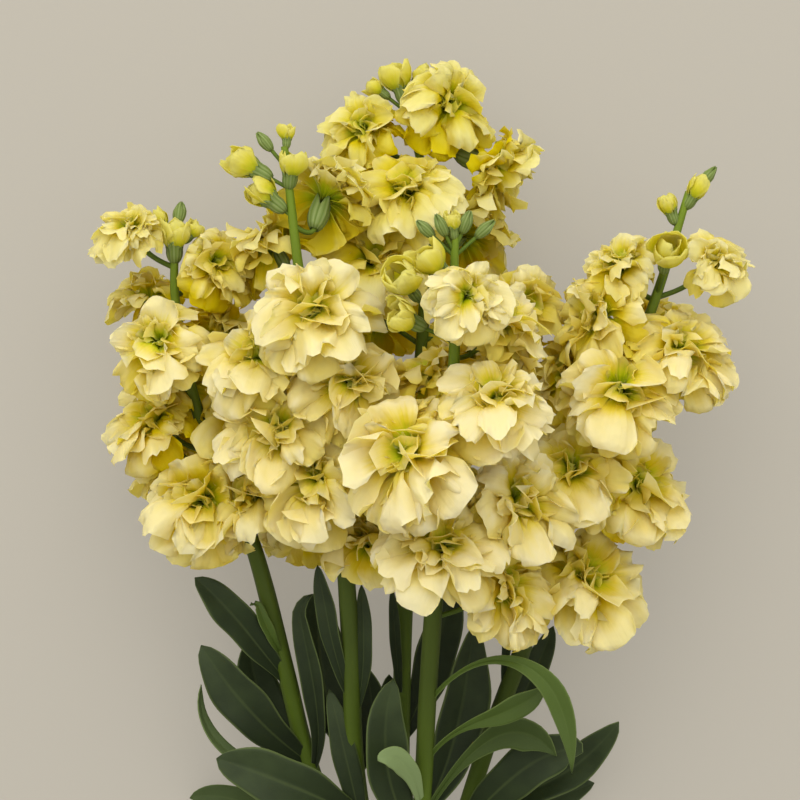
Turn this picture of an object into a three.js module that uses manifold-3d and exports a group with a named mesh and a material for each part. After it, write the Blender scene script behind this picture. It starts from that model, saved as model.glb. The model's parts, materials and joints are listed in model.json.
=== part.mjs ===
// A tied bunch of five cut stems of double stock, Matthiola incana, lying on a flat surface.
// Millimetres. +X runs across the bunch, +Y along it towards the flower tips, and +Z up from the surface.
// The origin is on the surface, under the middle of the tie, where the five stems are bound together.
import * as THREE from "three";
import { mergeVertices } from "three/addons/utils/BufferGeometryUtils.js";
import Module from "manifold-3d";

const wasm = await Module();
wasm.setup();

// Driving dimensions.
const STEM_FOOT_RADIUS = 4.0; // at the cut end and through the tie
const STEM_RADIUS = 3.3; // from among the leaves up to the lowest blooms
const STEM_SLIM_OVER = 60; // height along Y at which a stem has come down to that
const STEM_TIP_RADIUS = 1.3;
const STEM_TAPER_FROM = 150; // height along Y where a stem starts to thin towards its tip
const STEM_SIDES = 6;
const STEM_STEPS = 13;

const PEDICEL_RADIUS = 0.9; // the thin stalk that carries one bloom
const PEDICEL_DROP = 12; // how much lower than its bloom a pedicel leaves the stem
const CALYX_LENGTH = 9;
const CALYX_RADIUS = 2.9;
const CALYX_WAIST = 1.9;
const CALYX_SIDES = 4; // one side for each sepal
const BUD_DROP = 9; // how much lower than its bud a bud's stalk leaves the stem
const BUD_STALK_RADIUS = 0.7;
const BUD_SIDES = 4;
const TURN_UP = 0.6; // how strongly a bloom high over the surface turns up, away from the stem's own side
const TURN_UP_FROM = 25; // height over the surface where blooms start to turn up
const TURN_UP_OVER = 30; // and the further height at which they turn up in full
const LEAN_BACK = 0.35; // how strongly a bloom turns towards the flower tips
const LEAN_BACK_OVER = 60; // height over the surface from which it does so in full
const THROAT_RISE = 0.12; // how far a bloom's throat lies towards the flower tips, as a share of its reach

const PETAL_THICKNESS = 1.0;
const LEAF_THICKNESS = 0.8;
const SEAT_GAP = 0.3; // between a bloom and the calyx that carries it
const ROOM_GAP = 0.2; // kept by a bloom on its own side of the plane it shares with a neighbour
const PRESS = 10; // how firmly a petal keeps its length before the neighbours press it short

const TIE_WIDTH = 8;
const TIE_THICKNESS = 1.7;
const TIE_SLACK = 0.6; // between the tie and the stems that it binds
const TIE_ARC_STEPS = 4;
const STEM_PITCH = 8.8; // between the middle lines of neighbouring stems in the tie
const BOUND_RUN = 9; // how far a stem runs straight on either side of the tie's middle
const LOWER_ROW = STEM_FOOT_RADIUS + TIE_SLACK + TIE_THICKNESS; // height of the three stems that lie lowest
const UPPER_ROW = LOWER_ROW + STEM_PITCH * Math.sin(Math.PI / 3); // height of the two stems nested on them

const GOLDEN_ANGLE = THREE.MathUtils.degToRad(137.508);
const FLOOR_BITE = 0.5; // how far the lowest petals reach under the surface before they are cut flat on it

// The five stems, named by where each stands in the bunch.
// foot: the cut end, as [x, y, z]. bound: where the stem passes through the tie, as [x, z].
// route: points of the stem's middle line from above the tie to its tip, as [x, y, z].
// blooms: the centre of each open flower and how far its petals reach, as [x, y, z, reach].
// leaves: where each leaf leaves the stem (height y), two points that bend it, its tip and its width.
// buds: the middle of each unopened bud at the tip and its radius, as [x, y, z, radius].
const STEMS = {
  left: {
    foot: [-16, -128, 4.8],
    bound: [-STEM_PITCH, LOWER_ROW],
    route: [
      [-35, 92, 22], [-42, 122, 30], [-54, 170, 42],
      [-65, 198, 48], [-74, 220, 52], [-81.5, 261, 58], [-81, 283, 61],
    ],
    blooms: [
      [-98.6, 283, 66, 14], [-66, 273, 60, 16], [-87, 243, 74, 19], [-94, 260, 44, 14],
      [-91, 215, 56, 17.5], [-87, 203, 34, 16], [-72, 187, 68, 21], [-60, 246, 44, 19],
      [-84, 226, 12, 20], [-56, 214, 58, 20],
    ],
    leaves: [
      { from: 118, bend: [[-52, 132, 40], [-62, 148, 46]], tip: [-75, 158, 46], width: 12 },
      { from: 88, bend: [[-47, 99, 36], [-62, 114, 42]], tip: [-73, 133, 38], width: 16 },
      { from: 78, bend: [[-44, 92, 12], [-56, 112, 10]], tip: [-56, 134, 16], width: 15 },
      { from: 72, bend: [[-46, 84, 24], [-66, 98, 26]], tip: [-73, 120, 24], width: 6 },
      { from: 56, bend: [[-42, 66, 8], [-62, 84, 12]], tip: [-79, 78, 8], width: 10 },
      { from: 128, bend: [[-46, 134, 42], [-50, 142, 44]], tip: [-53, 151, 42], width: 4 },
      { from: 84, bend: [[-26, 104, 40], [-35, 128, 46]], tip: [-38, 154, 50], width: 8 },
    ],
    buds: [[-81.5, 283, 62, 5.6], [-87, 288, 58, 3.4], [-74, 285, 60, 3.4], [-80, 290, 56, 2.8]],
  },
  mid_left: {
    foot: [-8, -132, 12.4],
    bound: [-STEM_PITCH / 2, UPPER_ROW],
    route: [
      [-16, 85, 34], [-18, 133, 50], [-20, 166, 60], [-22, 187, 66],
      [-27, 216, 72], [-32, 245, 77], [-36, 269, 80], [-39, 295, 83], [-41, 313, 84],
    ],
    blooms: [
      [-26, 297, 72, 19], [-29, 254, 102, 22], [-52, 238, 88, 20], [-17, 229, 98, 20],
      [-29, 194, 90, 21], [-54, 189, 72, 20], [-9, 172, 72, 18], [-45, 212, 90, 20],
      [-48, 280, 60, 19], [-36, 226, 50, 21], [-33, 183, 44, 20],
    ],
    leaves: [
      { from: 68, bend: [[-26, 82, 50], [-48, 94, 54]], tip: [-67, 93, 46], width: 18 },
      { from: 92, bend: [[-30, 108, 26], [-30, 130, 16]], tip: [-31, 152, 20], width: 16 },
      { from: 112, bend: [[-25, 130, 54], [-27, 148, 56]], tip: [-30, 163, 56], width: 7 },
      { from: 106, bend: [[-12, 120, 50], [-13, 138, 53]], tip: [-14, 156, 54], width: 6 },
      { from: 84, bend: [[-10, 98, 26], [-9, 110, 24]], tip: [-13, 124, 26], width: 10 },
      { from: 60, bend: [[-16, 74, 40], [-20, 94, 42]], tip: [-26, 117, 40], width: 9 },
    ],
    buds: [
      [-40, 318, 84, 3], [-47.5, 314, 84, 2.5],
      [-55.4, 307, 84, 5.8], [-49.5, 297, 84, 5.8], [-38.5, 307, 86, 5],
    ],
  },
  back: {
    foot: [0, -126, 4.8],
    bound: [0, LOWER_ROW],
    route: [
      [0.7, 115, 15], [1.8, 151, 21], [3.6, 187, 27], [6.5, 223, 32],
      [9, 259, 36], [10, 288, 40], [7.6, 310, 43], [4.3, 322, 45], [0, 338, 46],
    ],
    blooms: [
      [18.5, 331, 56, 18.5], [-15, 321, 50, 16], [37, 305, 48, 18], [2, 297, 68, 20], [-12, 272, 64, 20],
      [46, 257, 60, 17], [-18, 292, 26, 19], [26, 285, 22, 20], [-12, 255, 16, 20], [30, 240, 30, 20],
      [0, 214, 13, 20],
    ],
    leaves: [
      { from: 108, bend: [[-1, 122, 24], [-2, 138, 26]], tip: [-3, 154, 30], width: 4 },
      { from: 96, bend: [[10, 112, 12], [16, 134, 12]], tip: [20, 158, 14], width: 15 },
      { from: 82, bend: [[-4, 94, 7], [-5, 106, 7]], tip: [-4, 120, 10], width: 9 },
    ],
    buds: [[-1, 341, 46, 5.4], [8, 341, 46, 4], [-8.8, 337, 46, 3.2]],
  },
  front: {
    foot: [8, -130, 12.4],
    bound: [STEM_PITCH / 2, UPPER_ROW],
    route: [
      [8.6, 83, 42], [10, 115, 56], [12.2, 151, 71], [14.4, 180, 82],
      [17, 210, 92], [19, 239, 100], [19, 273, 106], [19.8, 285, 107],
    ],
    blooms: [
      [2, 262, 114, 11], [23, 259, 124, 15], [35, 222, 114, 20], [3, 204, 118, 24],
      [14, 170, 102, 21], [38, 157, 82, 20], [44, 187, 88, 21], [10, 232, 78, 20],
      [24, 190, 62, 20], [38, 250, 92, 18],
    ],
    leaves: [
      { from: 58, bend: [[-2, 74, 50], [-10, 96, 56]], tip: [-2, 122, 56], width: 15 },
      { from: 72, bend: [[6, 90, 58], [-2, 98, 66]], tip: [-8, 93, 66], width: 8 },
      { from: 70, bend: [[19, 86, 38], [25, 110, 38]], tip: [27, 141, 44], width: 17 },
      { from: 112, bend: [[26, 140, 78], [62, 138, 84]], tip: [62, 88, 70], width: 8 },
      { from: 90, bend: [[22, 112, 60], [38, 104, 66]], tip: [53, 121, 64], width: 9 },
      { from: 68, bend: [[18, 82, 48], [28, 96, 50]], tip: [37, 103, 48], width: 13 },
    ],
    buds: [
      [18.5, 285, 108, 3.2], [14.6, 283, 109, 2.6], [22.6, 284, 108, 2.6], [29, 282, 107, 2.7],
      [9.5, 282, 107, 2.5], [10.4, 272, 112, 5.6], [0.5, 252, 116, 5.6],
    ],
  },
  right: {
    foot: [16, -127, 4.8],
    bound: [STEM_PITCH, LOWER_ROW],
    route: [
      [32, 94, 24], [39, 114, 30], [45, 131, 35], [52, 158, 42],
      [58, 173, 46], [69.5, 206, 53], [81, 230, 58], [92, 259, 61], [99, 281, 63], [104, 298, 64],
    ],
    blooms: [
      [114, 272, 68, 13.5], [78, 271, 68, 15], [95, 273, 78, 11], [71, 253, 72, 18],
      [102.5, 240, 72, 19], [79, 226, 84, 21], [62, 197, 74, 20], [88, 192, 62, 20],
      [69, 157, 62, 22], [94, 248, 34, 18], [74, 216, 12, 20], [58, 232, 56, 18],
    ],
    leaves: [
      { from: 92, bend: [[42, 104, 22], [50, 120, 20]], tip: [57, 139, 22], width: 10 },
      { from: 72, bend: [[46, 76, 22], [66, 82, 24]], tip: [81, 104, 26], width: 13 },
      { from: 62, bend: [[32, 76, 40], [50, 98, 44]], tip: [68, 95, 42], width: 16 },
      { from: 58, bend: [[38, 64, 8], [56, 74, 10]], tip: [73, 79, 8], width: 11 },
      { from: 112, bend: [[38, 132, 36], [41, 146, 40]], tip: [45, 158, 44], width: 4 },
    ],
    buds: [[107, 299, 64, 4.2], [96.5, 293.5, 64, 4], [110.5, 303, 64, 2.6]],
  },
};

const COLOURS = {
  stem: { color: 0x4f7a2c, roughness: 0.6, metalness: 0 },
  bloom: { color: 0xf3e391, roughness: 0.7, metalness: 0 },
  tie: { color: 0xb79a6a, roughness: 0.9, metalness: 0 },
};

const vector = (point) => new THREE.Vector3(point[0], point[1], point[2]);
const mix = THREE.MathUtils.lerp;

// A closed geometry from its corners and its triangles, each given as three corner numbers.
function closedGeometry(corners, triangles) {
  return new THREE.BufferGeometry().setFromPoints(corners).setIndex(triangles.flat());
}

function solidOf(geometry) {
  const mesh = new wasm.Mesh({
    numProp: 3,
    vertProperties: geometry.getAttribute("position").array,
    triVerts: new Uint32Array(geometry.index.array),
  });
  return new wasm.Manifold(mesh);
}

const fused = (solids) => solids.reduce((whole, solid) => whole.add(solid));

function geometryOf(solid) {
  const mesh = solid.getMesh();
  return new THREE.BufferGeometry()
    .setAttribute("position", new THREE.BufferAttribute(mesh.vertProperties, 3))
    .setIndex(new THREE.BufferAttribute(mesh.triVerts, 1));
}

// Two directions across a line that runs along tangent, which make a right-handed set with it.
function acrossOf(tangent) {
  const guide = Math.abs(tangent.z) > 0.9 ? new THREE.Vector3(1, 0, 0) : new THREE.Vector3(0, 0, 1);
  const side = new THREE.Vector3().crossVectors(guide, tangent).normalize();
  return [side, new THREE.Vector3().crossVectors(tangent, side)];
}

// A closed round body whose cross-sections are rings of like corner counts.
function loft(rings) {
  const sides = rings[0].length;
  const triangles = [];
  for (let ring = 0; ring + 1 < rings.length; ring += 1) {
    for (let side = 0; side < sides; side += 1) {
      const a = ring * sides + side;
      const b = ring * sides + ((side + 1) % sides);
      triangles.push([a, b, b + sides], [a, b + sides, a + sides]);
    }
  }
  const last = (rings.length - 1) * sides;
  for (let side = 1; side + 1 < sides; side += 1) {
    triangles.push([0, side + 1, side], [last, last + side, last + side + 1]);
  }
  return closedGeometry(rings.flat(), triangles);
}

function ringAcross(centre, side, up, radius, sides, start = 0) {
  return Array.from({ length: sides }, (_, corner) => {
    const turn = start + (2 * Math.PI * corner) / sides;
    return centre
      .clone()
      .addScaledVector(side, radius * Math.cos(turn))
      .addScaledVector(up, radius * Math.sin(turn));
  });
}

// A thin sheet with a top and a bottom face that are split into triangles alike, and a wall round its edge.
function sheet(top, bottom, triangles) {
  const count = top.length;
  const faces = [];
  const edges = new Map();
  for (const [a, b, c] of triangles) {
    faces.push([a, b, c], [count + c, count + b, count + a]);
    for (const [from, to] of [[a, b], [b, c], [c, a]]) {
      if (!edges.delete(`${to} ${from}`)) edges.set(`${from} ${to}`, [from, to]);
    }
  }
  for (const [from, to] of edges.values()) {
    faces.push([to, from, count + from], [to, count + from, count + to]);
  }
  return closedGeometry([...top, ...bottom], faces);
}

// The middle line of a stem as a curve, and the point on it at a height along Y.
function stemCurve({ foot, bound: [x, z], route }) {
  const points = [foot, [x, -BOUND_RUN, z], [x, BOUND_RUN, z], ...route];
  return new THREE.CatmullRomCurve3(points.map(vector), false, "centripetal");
}

function stemAt(curve, height) {
  let low = 0;
  let high = 1;
  for (let step = 0; step < 30; step += 1) {
    const middle = (low + high) / 2;
    if (curve.getPoint(middle).y < height) low = middle;
    else high = middle;
  }
  return curve.getPoint(low);
}

function stemRadius(height, tipHeight) {
  const slimmed = THREE.MathUtils.clamp((height - BOUND_RUN) / (STEM_SLIM_OVER - BOUND_RUN), 0, 1);
  const tapered = THREE.MathUtils.clamp((height - STEM_TAPER_FROM) / (tipHeight - STEM_TAPER_FROM), 0, 1);
  return mix(mix(STEM_FOOT_RADIUS, STEM_RADIUS, slimmed), STEM_TIP_RADIUS, tapered);
}

function stemSolid(stem) {
  const tipHeight = stem.route.at(-1)[1];
  const points = stem.curve.getSpacedPoints(STEM_STEPS);
  const radii = points.map((point) => stemRadius(point.y, tipHeight));
  return solidOf(tube(points, radii, STEM_SIDES));
}

// A closed tube through points, with its own radius at each, whose rings follow its bends without twisting.
function tube(points, radii, sides) {
  const directions = points.slice(1).map((point, index) => point.clone().sub(points[index]).normalize());
  let tangent = directions[0];
  let [side, up] = acrossOf(tangent);
  const rings = points.map((centre, index) => {
    const before = directions[Math.max(index - 1, 0)];
    const after = directions[Math.min(index, directions.length - 1)];
    const next = before.clone().add(after).normalize();
    const turn = new THREE.Quaternion().setFromUnitVectors(tangent, next);
    side = side.clone().applyQuaternion(turn);
    up = up.clone().applyQuaternion(turn);
    tangent = next;
    return ringAcross(centre, side, up, radii[index], sides);
  });
  return loft(rings);
}

// Where a bloom's stalk starts, which way the bloom faces, and where its throat sits on its calyx.
function stalkOf(stem, [x, y, z, reach]) {
  const centre = new THREE.Vector3(x, y, z);
  const start = stemAt(stem.curve, Math.min(y - PEDICEL_DROP, stem.route.at(-1)[1] - 2));
  const upwards = TURN_UP * THREE.MathUtils.clamp((z - TURN_UP_FROM) / TURN_UP_OVER, 0, 1);
  const back = LEAN_BACK * Math.min(1, z / LEAN_BACK_OVER);
  const facing = centre.clone().sub(start).normalize().add(new THREE.Vector3(0, back, upwards)).normalize();
  const throat = centre.clone().addScaledVector(facing, -THROAT_DEPTH * reach);
  throat.y += THROAT_RISE * reach;
  return { centre, reach, start, facing, throat };
}

function stalkSolid({ start, facing, throat, reach }) {
  const size = Math.min(1, reach / 15);
  const back = (distance) => throat.clone().addScaledVector(facing, -distance);
  const length = CALYX_LENGTH * size;
  const points = [start, back(SEAT_GAP + length), back(SEAT_GAP + length * 0.6), back(SEAT_GAP)];
  const radii = [PEDICEL_RADIUS, PEDICEL_RADIUS, CALYX_RADIUS * size, CALYX_WAIST * size];
  return solidOf(tube(points, radii, CALYX_SIDES));
}

// An unopened bud on its short stalk, closed in its calyx below and pointed above.
function budOf(stem, [x, y, z, radius]) {
  const middle = new THREE.Vector3(x, y, z);
  const root = stemAt(stem.curve, Math.min(y - BUD_DROP, stem.route.at(-1)[1] - 1));
  const facing = middle.clone().sub(root).normalize();
  return { middle, root, facing, radius };
}

function budSolid({ root, middle, facing, radius }) {
  const along = (share) => middle.clone().addScaledVector(facing, share * radius);
  const points = [root, along(-1.3), along(-0.2), along(1.3)];
  const radii = [BUD_STALK_RADIUS, BUD_STALK_RADIUS, radius, radius * 0.4];
  return solidOf(tube(points, radii, BUD_SIDES));
}

// A leaf is a creased blade along a bent line, narrow at its foot and widest past its middle.
const LEAF_ROWS = [
  { at: 0.0, width: 0.0 },
  { at: 0.3, width: 0.5 },
  { at: 0.62, width: 1.0 },
  { at: 0.88, width: 0.8 },
  { at: 1.0, width: 0.0 },
];
const LEAF_CREASE = 0.14; // how far the midrib lies below the leaf's edges, as a share of its width

function leafSolid(stem, leaf) {
  const line = new THREE.CubicBezierCurve3(
    stemAt(stem.curve, leaf.from),
    vector(leaf.bend[0]),
    vector(leaf.bend[1]),
    vector(leaf.tip),
  );
  const top = [];
  const bottom = [];
  for (const { at, width } of LEAF_ROWS) {
    const middle = line.getPoint(at);
    const tangent = line.getTangent(at);
    const [side, up] = acrossOf(tangent);
    for (const across of width === 0 ? [0] : [0.5, 0, -0.5]) {
      const point = middle
        .clone()
        .addScaledVector(side, across * width * leaf.width)
        .addScaledVector(up, (Math.abs(across) - 0.25) * LEAF_CREASE * width * leaf.width);
      top.push(point.clone().addScaledVector(up, LEAF_THICKNESS / 2));
      bottom.push(point.clone().addScaledVector(up, -LEAF_THICKNESS / 2));
    }
  }
  const triangles = [[0, 2, 1], [0, 3, 2]];
  for (const row of [1, 4]) {
    for (const left of [row, row + 1]) {
      triangles.push([left, left + 1, left + 4], [left, left + 4, left + 3]);
    }
  }
  triangles.push([7, 8, 10], [8, 9, 10]);
  return solidOf(sheet(top, bottom, triangles));
}

// A bloom is one closed skin, drawn as shares of its reach: a neck that stands in the calyx, a whorl of
// wide petals, a step inwards, a whorl of upright petals, and a peaked heart of tight ones.
// cleft is where neighbouring petals part. edge runs round one petal: turn is the share of its sector,
// out the distance from the bloom's axis and rise the height over the bloom's centre.
const THROAT_DEPTH = 0.3;
const PETALS = 5; // in each whorl
const NECK_RADIUS = 1.5;
const HEART_RISE = 0.5;
const RUFFLE = 0.07; // how far the edge of a petal strays from its even outline
const OUTER_WHORL = {
  start: 0,
  lean: 0.1,
  cleft: { out: 0.36, rise: -0.1 },
  edge: [
    { turn: -0.45, out: 0.8, rise: 0.04 },
    { turn: -0.35, out: 1.05, rise: -0.06 },
    { turn: 0.0, out: 1.12, rise: 0.04 },
    { turn: 0.35, out: 1.05, rise: -0.16 },
    { turn: 0.45, out: 0.8, rise: -0.1 },
  ],
};
const INNER_WHORL = {
  start: 0.5,
  lean: 0.9,
  cleft: { out: 0.25, rise: 0.08 },
  edge: [
    { turn: -0.42, out: 0.6, rise: 0.34 },
    { turn: 0.0, out: 0.84, rise: 0.6 },
    { turn: 0.42, out: 0.66, rise: 0.26 },
  ],
};

// Draws a point in towards a bloom's centre until it lies inside the room that its neighbours leave it.
function pressedIn(point, centre, room) {
  const ray = point.clone().sub(centre);
  const length = ray.length();
  ray.divideScalar(length);
  let reach = Infinity;
  for (const { normal, distance } of room) {
    const towards = ray.dot(normal);
    if (towards > 0) reach = Math.min(reach, distance / towards);
  }
  return centre.clone().addScaledVector(ray, length / (1 + (length / reach) ** PRESS) ** (1 / PRESS));
}

function seededRandom(seed) {
  let state = seed;
  return () => {
    state = (state * 16807) % 2147483647;
    return state / 2147483647;
  };
}

// A point of a bloom at a turn round its axis, on the upper or the under face of a petal sheet.
function petalPoint(bloom, whorl, turn, { out, rise }, face) {
  const direction = bloom.side
    .clone()
    .multiplyScalar(Math.cos(turn))
    .addScaledVector(bloom.up, Math.sin(turn));
  const lift = bloom.facing
    .clone()
    .multiplyScalar(Math.cos(whorl.lean))
    .addScaledVector(direction, -Math.sin(whorl.lean));
  const point = bloom.centre
    .clone()
    .addScaledVector(direction, out * bloom.reach)
    .addScaledVector(bloom.facing, rise * bloom.reach)
    .addScaledVector(lift, (face * PETAL_THICKNESS) / 2);
  return pressedIn(point, bloom.centre, bloom.room);
}

function bloomGeometry(bloom, index) {
  const random = seededRandom(index * 97 + 31);
  const corners = [];
  const triangles = [];
  const sector = (2 * Math.PI) / PETALS;
  const add = (point) => corners.push(point) - 1;
  const turnOf = (whorl, petal) => bloom.turn + (petal + whorl.start) * sector;
  const next = (petal) => (petal + 1) % PETALS;

  // Joins two rings of corners, whether they stand in line or half a step apart.
  const band = (lower, upper) => {
    for (let petal = 0; petal < PETALS; petal += 1) {
      const [a, b] = [lower[petal], lower[next(petal)]];
      const [c, d] = [upper[petal], upper[next(petal)]];
      triangles.push([a, b, c], [b, d, c]);
    }
  };
  const cleftRing = (whorl, face) =>
    Array.from({ length: PETALS }, (_, petal) =>
      add(petalPoint(bloom, whorl, turnOf(whorl, petal), whorl.cleft, face)),
    );

  const petals = (whorl, under, over) => {
    for (let petal = 0; petal < PETALS; petal += 1) {
      const ruffled = whorl.edge.map(({ turn, out, rise }) => ({
        turn: turnOf(whorl, petal + 0.5) + turn * sector,
        out: out + (random() - 0.5) * RUFFLE,
        rise: rise + (random() - 0.5) * 2 * RUFFLE,
      }));
      const edge = (face) => ruffled.map((spot) => add(petalPoint(bloom, whorl, spot.turn, spot, face)));
      const low = [under[petal], ...edge(-1), under[next(petal)]];
      const high = [over[petal], ...edge(1), over[next(petal)]];
      const last = low.length - 1;
      const crown = last / 2;
      for (let spot = 0; spot < last; spot += 1) {
        const [root, from, to] = spot < crown ? [0, spot, spot + 1] : [last, spot, spot + 1];
        if (from !== root && to !== root) {
          triangles.push([high[root], high[from], high[to]], [low[root], low[to], low[from]]);
        }
        triangles.push([low[from], low[to], high[to]], [low[from], high[to], high[from]]);
      }
      triangles.push([high[0], high[crown], high[last]], [low[0], low[last], low[crown]]);
    }
  };

  const neck = ringAcross(bloom.throat, bloom.side, bloom.up, NECK_RADIUS, PETALS, bloom.turn).map(add);
  const outerUnder = cleftRing(OUTER_WHORL, -1);
  const outerOver = cleftRing(OUTER_WHORL, 1);
  const innerUnder = cleftRing(INNER_WHORL, -1);
  const innerOver = cleftRing(INNER_WHORL, 1);
  band(neck, outerUnder);
  petals(OUTER_WHORL, outerUnder, outerOver);
  band(outerOver, innerUnder);
  petals(INNER_WHORL, innerUnder, innerOver);
  const peak = add(bloom.centre.clone().addScaledVector(bloom.facing, HEART_RISE * bloom.reach));
  for (let petal = 0; petal < PETALS; petal += 1) {
    triangles.push([innerOver[petal], innerOver[next(petal)], peak]);
    if (petal > 1) triangles.push([neck[0], neck[petal], neck[petal - 1]]);
  }
  return closedGeometry(corners, triangles);
}

// The planes that a bloom shares with its neighbours: other blooms, and the stems, stalks and buds near it.
function roomOf(bloom, blooms, rods) {
  const room = [];
  for (const other of blooms) {
    const apart = other.centre.clone().sub(bloom.centre);
    const distance = apart.length();
    if (other === bloom || distance > 60) continue;
    const own = (distance * bloom.reach) / (bloom.reach + other.reach);
    room.push({ normal: apart.divideScalar(distance), distance: own - ROOM_GAP });
  }
  for (const rod of rods) {
    if (rod.owner === bloom) continue;
    const line = new THREE.Line3(rod.from, rod.to);
    const nearest = line.closestPointToPoint(bloom.centre, true, new THREE.Vector3());
    const apart = nearest.sub(bloom.centre);
    const distance = apart.length();
    if (distance > 45) continue;
    room.push({ normal: apart.divideScalar(distance), distance: distance - rod.radius - ROOM_GAP });
  }
  room.push({ normal: new THREE.Vector3(0, 0, -1), distance: bloom.centre.z + FLOOR_BITE });
  return room;
}

// Everything below the surface that the bunch lies on, cut off the lowest blooms to seat them.
const ground = new THREE.BoxGeometry(600, 900, 40).translate(0, 100, -20);
ground.deleteAttribute("normal");
ground.deleteAttribute("uv");
const surface = solidOf(mergeVertices(ground));

function seatedOnSurface(geometry) {
  geometry.computeBoundingBox();
  return geometry.boundingBox.min.z < 0 ? geometryOf(solidOf(geometry).subtract(surface)) : geometry;
}

// The tie is a band drawn round the five stems, so its outline is arcs round the four outer ones.
function tieGeometry() {
  const corners = [STEMS.left, STEMS.right, STEMS.front, STEMS.mid_left].map(({ bound }) => bound);
  const outline = (radius) => {
    const points = [];
    corners.forEach(([x, z], index) => {
      const before = corners.at(index - 1);
      const after = corners[(index + 1) % corners.length];
      const first = Math.atan2(z - before[1], x - before[0]) - Math.PI / 2;
      let last = Math.atan2(after[1] - z, after[0] - x) - Math.PI / 2;
      if (last < first) last += 2 * Math.PI;
      for (let step = 0; step <= TIE_ARC_STEPS; step += 1) {
        const turn = mix(first, last, step / TIE_ARC_STEPS);
        points.push(new THREE.Vector2(x + radius * Math.cos(turn), z + radius * Math.sin(turn)));
      }
    });
    return points;
  };
  const inner = STEM_FOOT_RADIUS + TIE_SLACK;
  const band = new THREE.Shape(outline(inner + TIE_THICKNESS));
  band.holes.push(new THREE.Path(outline(inner).reverse()));
  const settings = { depth: TIE_WIDTH, bevelEnabled: false, curveSegments: 1 };
  return new THREE.ExtrudeGeometry(band, settings).rotateX(Math.PI / 2).translate(0, TIE_WIDTH / 2, 0);
}

const group = new THREE.Group();
group.name = "stock_flower_bunch";

function addMesh(name, geometry, look) {
  const mesh = new THREE.Mesh(geometry, new THREE.MeshStandardMaterial(look));
  mesh.name = name;
  group.add(mesh);
}

// Every stalk, stem and bud is set out first, because a bloom has to keep clear of all of them.
const blooms = [];
const rods = [];
for (const [name, stem] of Object.entries(STEMS)) {
  stem.curve = stemCurve(stem);
  stem.stalks = stem.blooms.map((bloom) => stalkOf(stem, bloom));
  stem.buds = stem.buds.map((bud) => budOf(stem, bud));
  const spine = stem.curve.getSpacedPoints(40);
  for (let index = 0; index + 1 < spine.length; index += 1) {
    const radius = stemRadius(spine[index].y, stem.route.at(-1)[1]);
    rods.push({ from: spine[index], to: spine[index + 1], radius });
  }
  stem.stalks.forEach((stalk, index) => {
    const [side, up] = acrossOf(stalk.facing);
    const number = String(index + 1).padStart(2, "0");
    const bloom = { ...stalk, side, up, turn: index * GOLDEN_ANGLE, name: `bloom_${name}_${number}` };
    blooms.push(bloom);
    const foot = stalk.throat.clone().addScaledVector(stalk.facing, -CALYX_LENGTH);
    rods.push({ from: stalk.start, to: foot, radius: PEDICEL_RADIUS, owner: bloom });
    rods.push({ from: foot, to: stalk.throat, radius: CALYX_RADIUS, owner: bloom });
  });
  for (const { root, middle, facing, radius } of stem.buds) {
    rods.push({ from: root, to: middle, radius: BUD_STALK_RADIUS });
    const [low, high] = [-0.8, 0.9].map((share) => middle.clone().addScaledVector(facing, share * radius));
    rods.push({ from: low, to: high, radius });
  }
}

for (const [name, stem] of Object.entries(STEMS)) {
  const solids = [
    stemSolid(stem),
    ...stem.stalks.map(stalkSolid),
    ...stem.leaves.map((leaf) => leafSolid(stem, leaf)),
    ...stem.buds.map(budSolid),
  ];
  addMesh(`leafy_stem_${name}`, geometryOf(fused(solids)), COLOURS.stem);
}
blooms.forEach((bloom, index) => {
  bloom.room = roomOf(bloom, blooms, rods);
  addMesh(bloom.name, seatedOnSurface(bloomGeometry(bloom, index)), COLOURS.bloom);
});
addMesh("tie", tieGeometry(), COLOURS.tie);

export default group;
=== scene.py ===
# %% [markdown]
# # A tied bunch of double stock
# Double stock is grown for cut flowers. Each stem carries a dense upright head of ruffled, many-petalled
# blooms over long, soft, felted leaves. Here five cut stems are tied in a bunch and laid down on a pale
# surface. The solid model under this scene gives every piece its place and size. This lesson dresses it:
# petals in their whorls, leaves with a midrib and a waved edge, felted calyces and buds, ribbed stems and a
# twine tie. All work is in metres, and lengths below are written in millimetres and multiplied by MM.

# %% Load the solid model
import json
import math
import bpy
import numpy as np
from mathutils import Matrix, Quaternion, Vector

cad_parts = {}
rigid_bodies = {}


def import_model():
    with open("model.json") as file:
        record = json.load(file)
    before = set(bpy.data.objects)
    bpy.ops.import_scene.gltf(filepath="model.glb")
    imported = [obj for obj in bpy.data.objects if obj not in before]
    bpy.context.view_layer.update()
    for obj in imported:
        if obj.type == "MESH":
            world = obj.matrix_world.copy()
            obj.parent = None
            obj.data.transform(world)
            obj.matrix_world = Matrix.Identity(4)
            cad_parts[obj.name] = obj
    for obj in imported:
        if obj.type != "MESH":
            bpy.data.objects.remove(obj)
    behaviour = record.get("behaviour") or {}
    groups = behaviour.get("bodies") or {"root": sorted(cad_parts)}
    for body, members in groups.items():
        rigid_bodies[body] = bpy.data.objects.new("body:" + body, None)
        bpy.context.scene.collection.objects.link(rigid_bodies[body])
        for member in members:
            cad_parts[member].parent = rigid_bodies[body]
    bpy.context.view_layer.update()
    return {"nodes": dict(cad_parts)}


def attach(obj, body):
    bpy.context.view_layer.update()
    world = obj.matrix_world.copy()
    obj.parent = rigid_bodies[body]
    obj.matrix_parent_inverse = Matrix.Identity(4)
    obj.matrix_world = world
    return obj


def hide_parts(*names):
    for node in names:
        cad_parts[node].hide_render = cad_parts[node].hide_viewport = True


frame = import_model()
MM = 0.001
print("nodes in the solid model:", len(frame["nodes"]))

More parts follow.
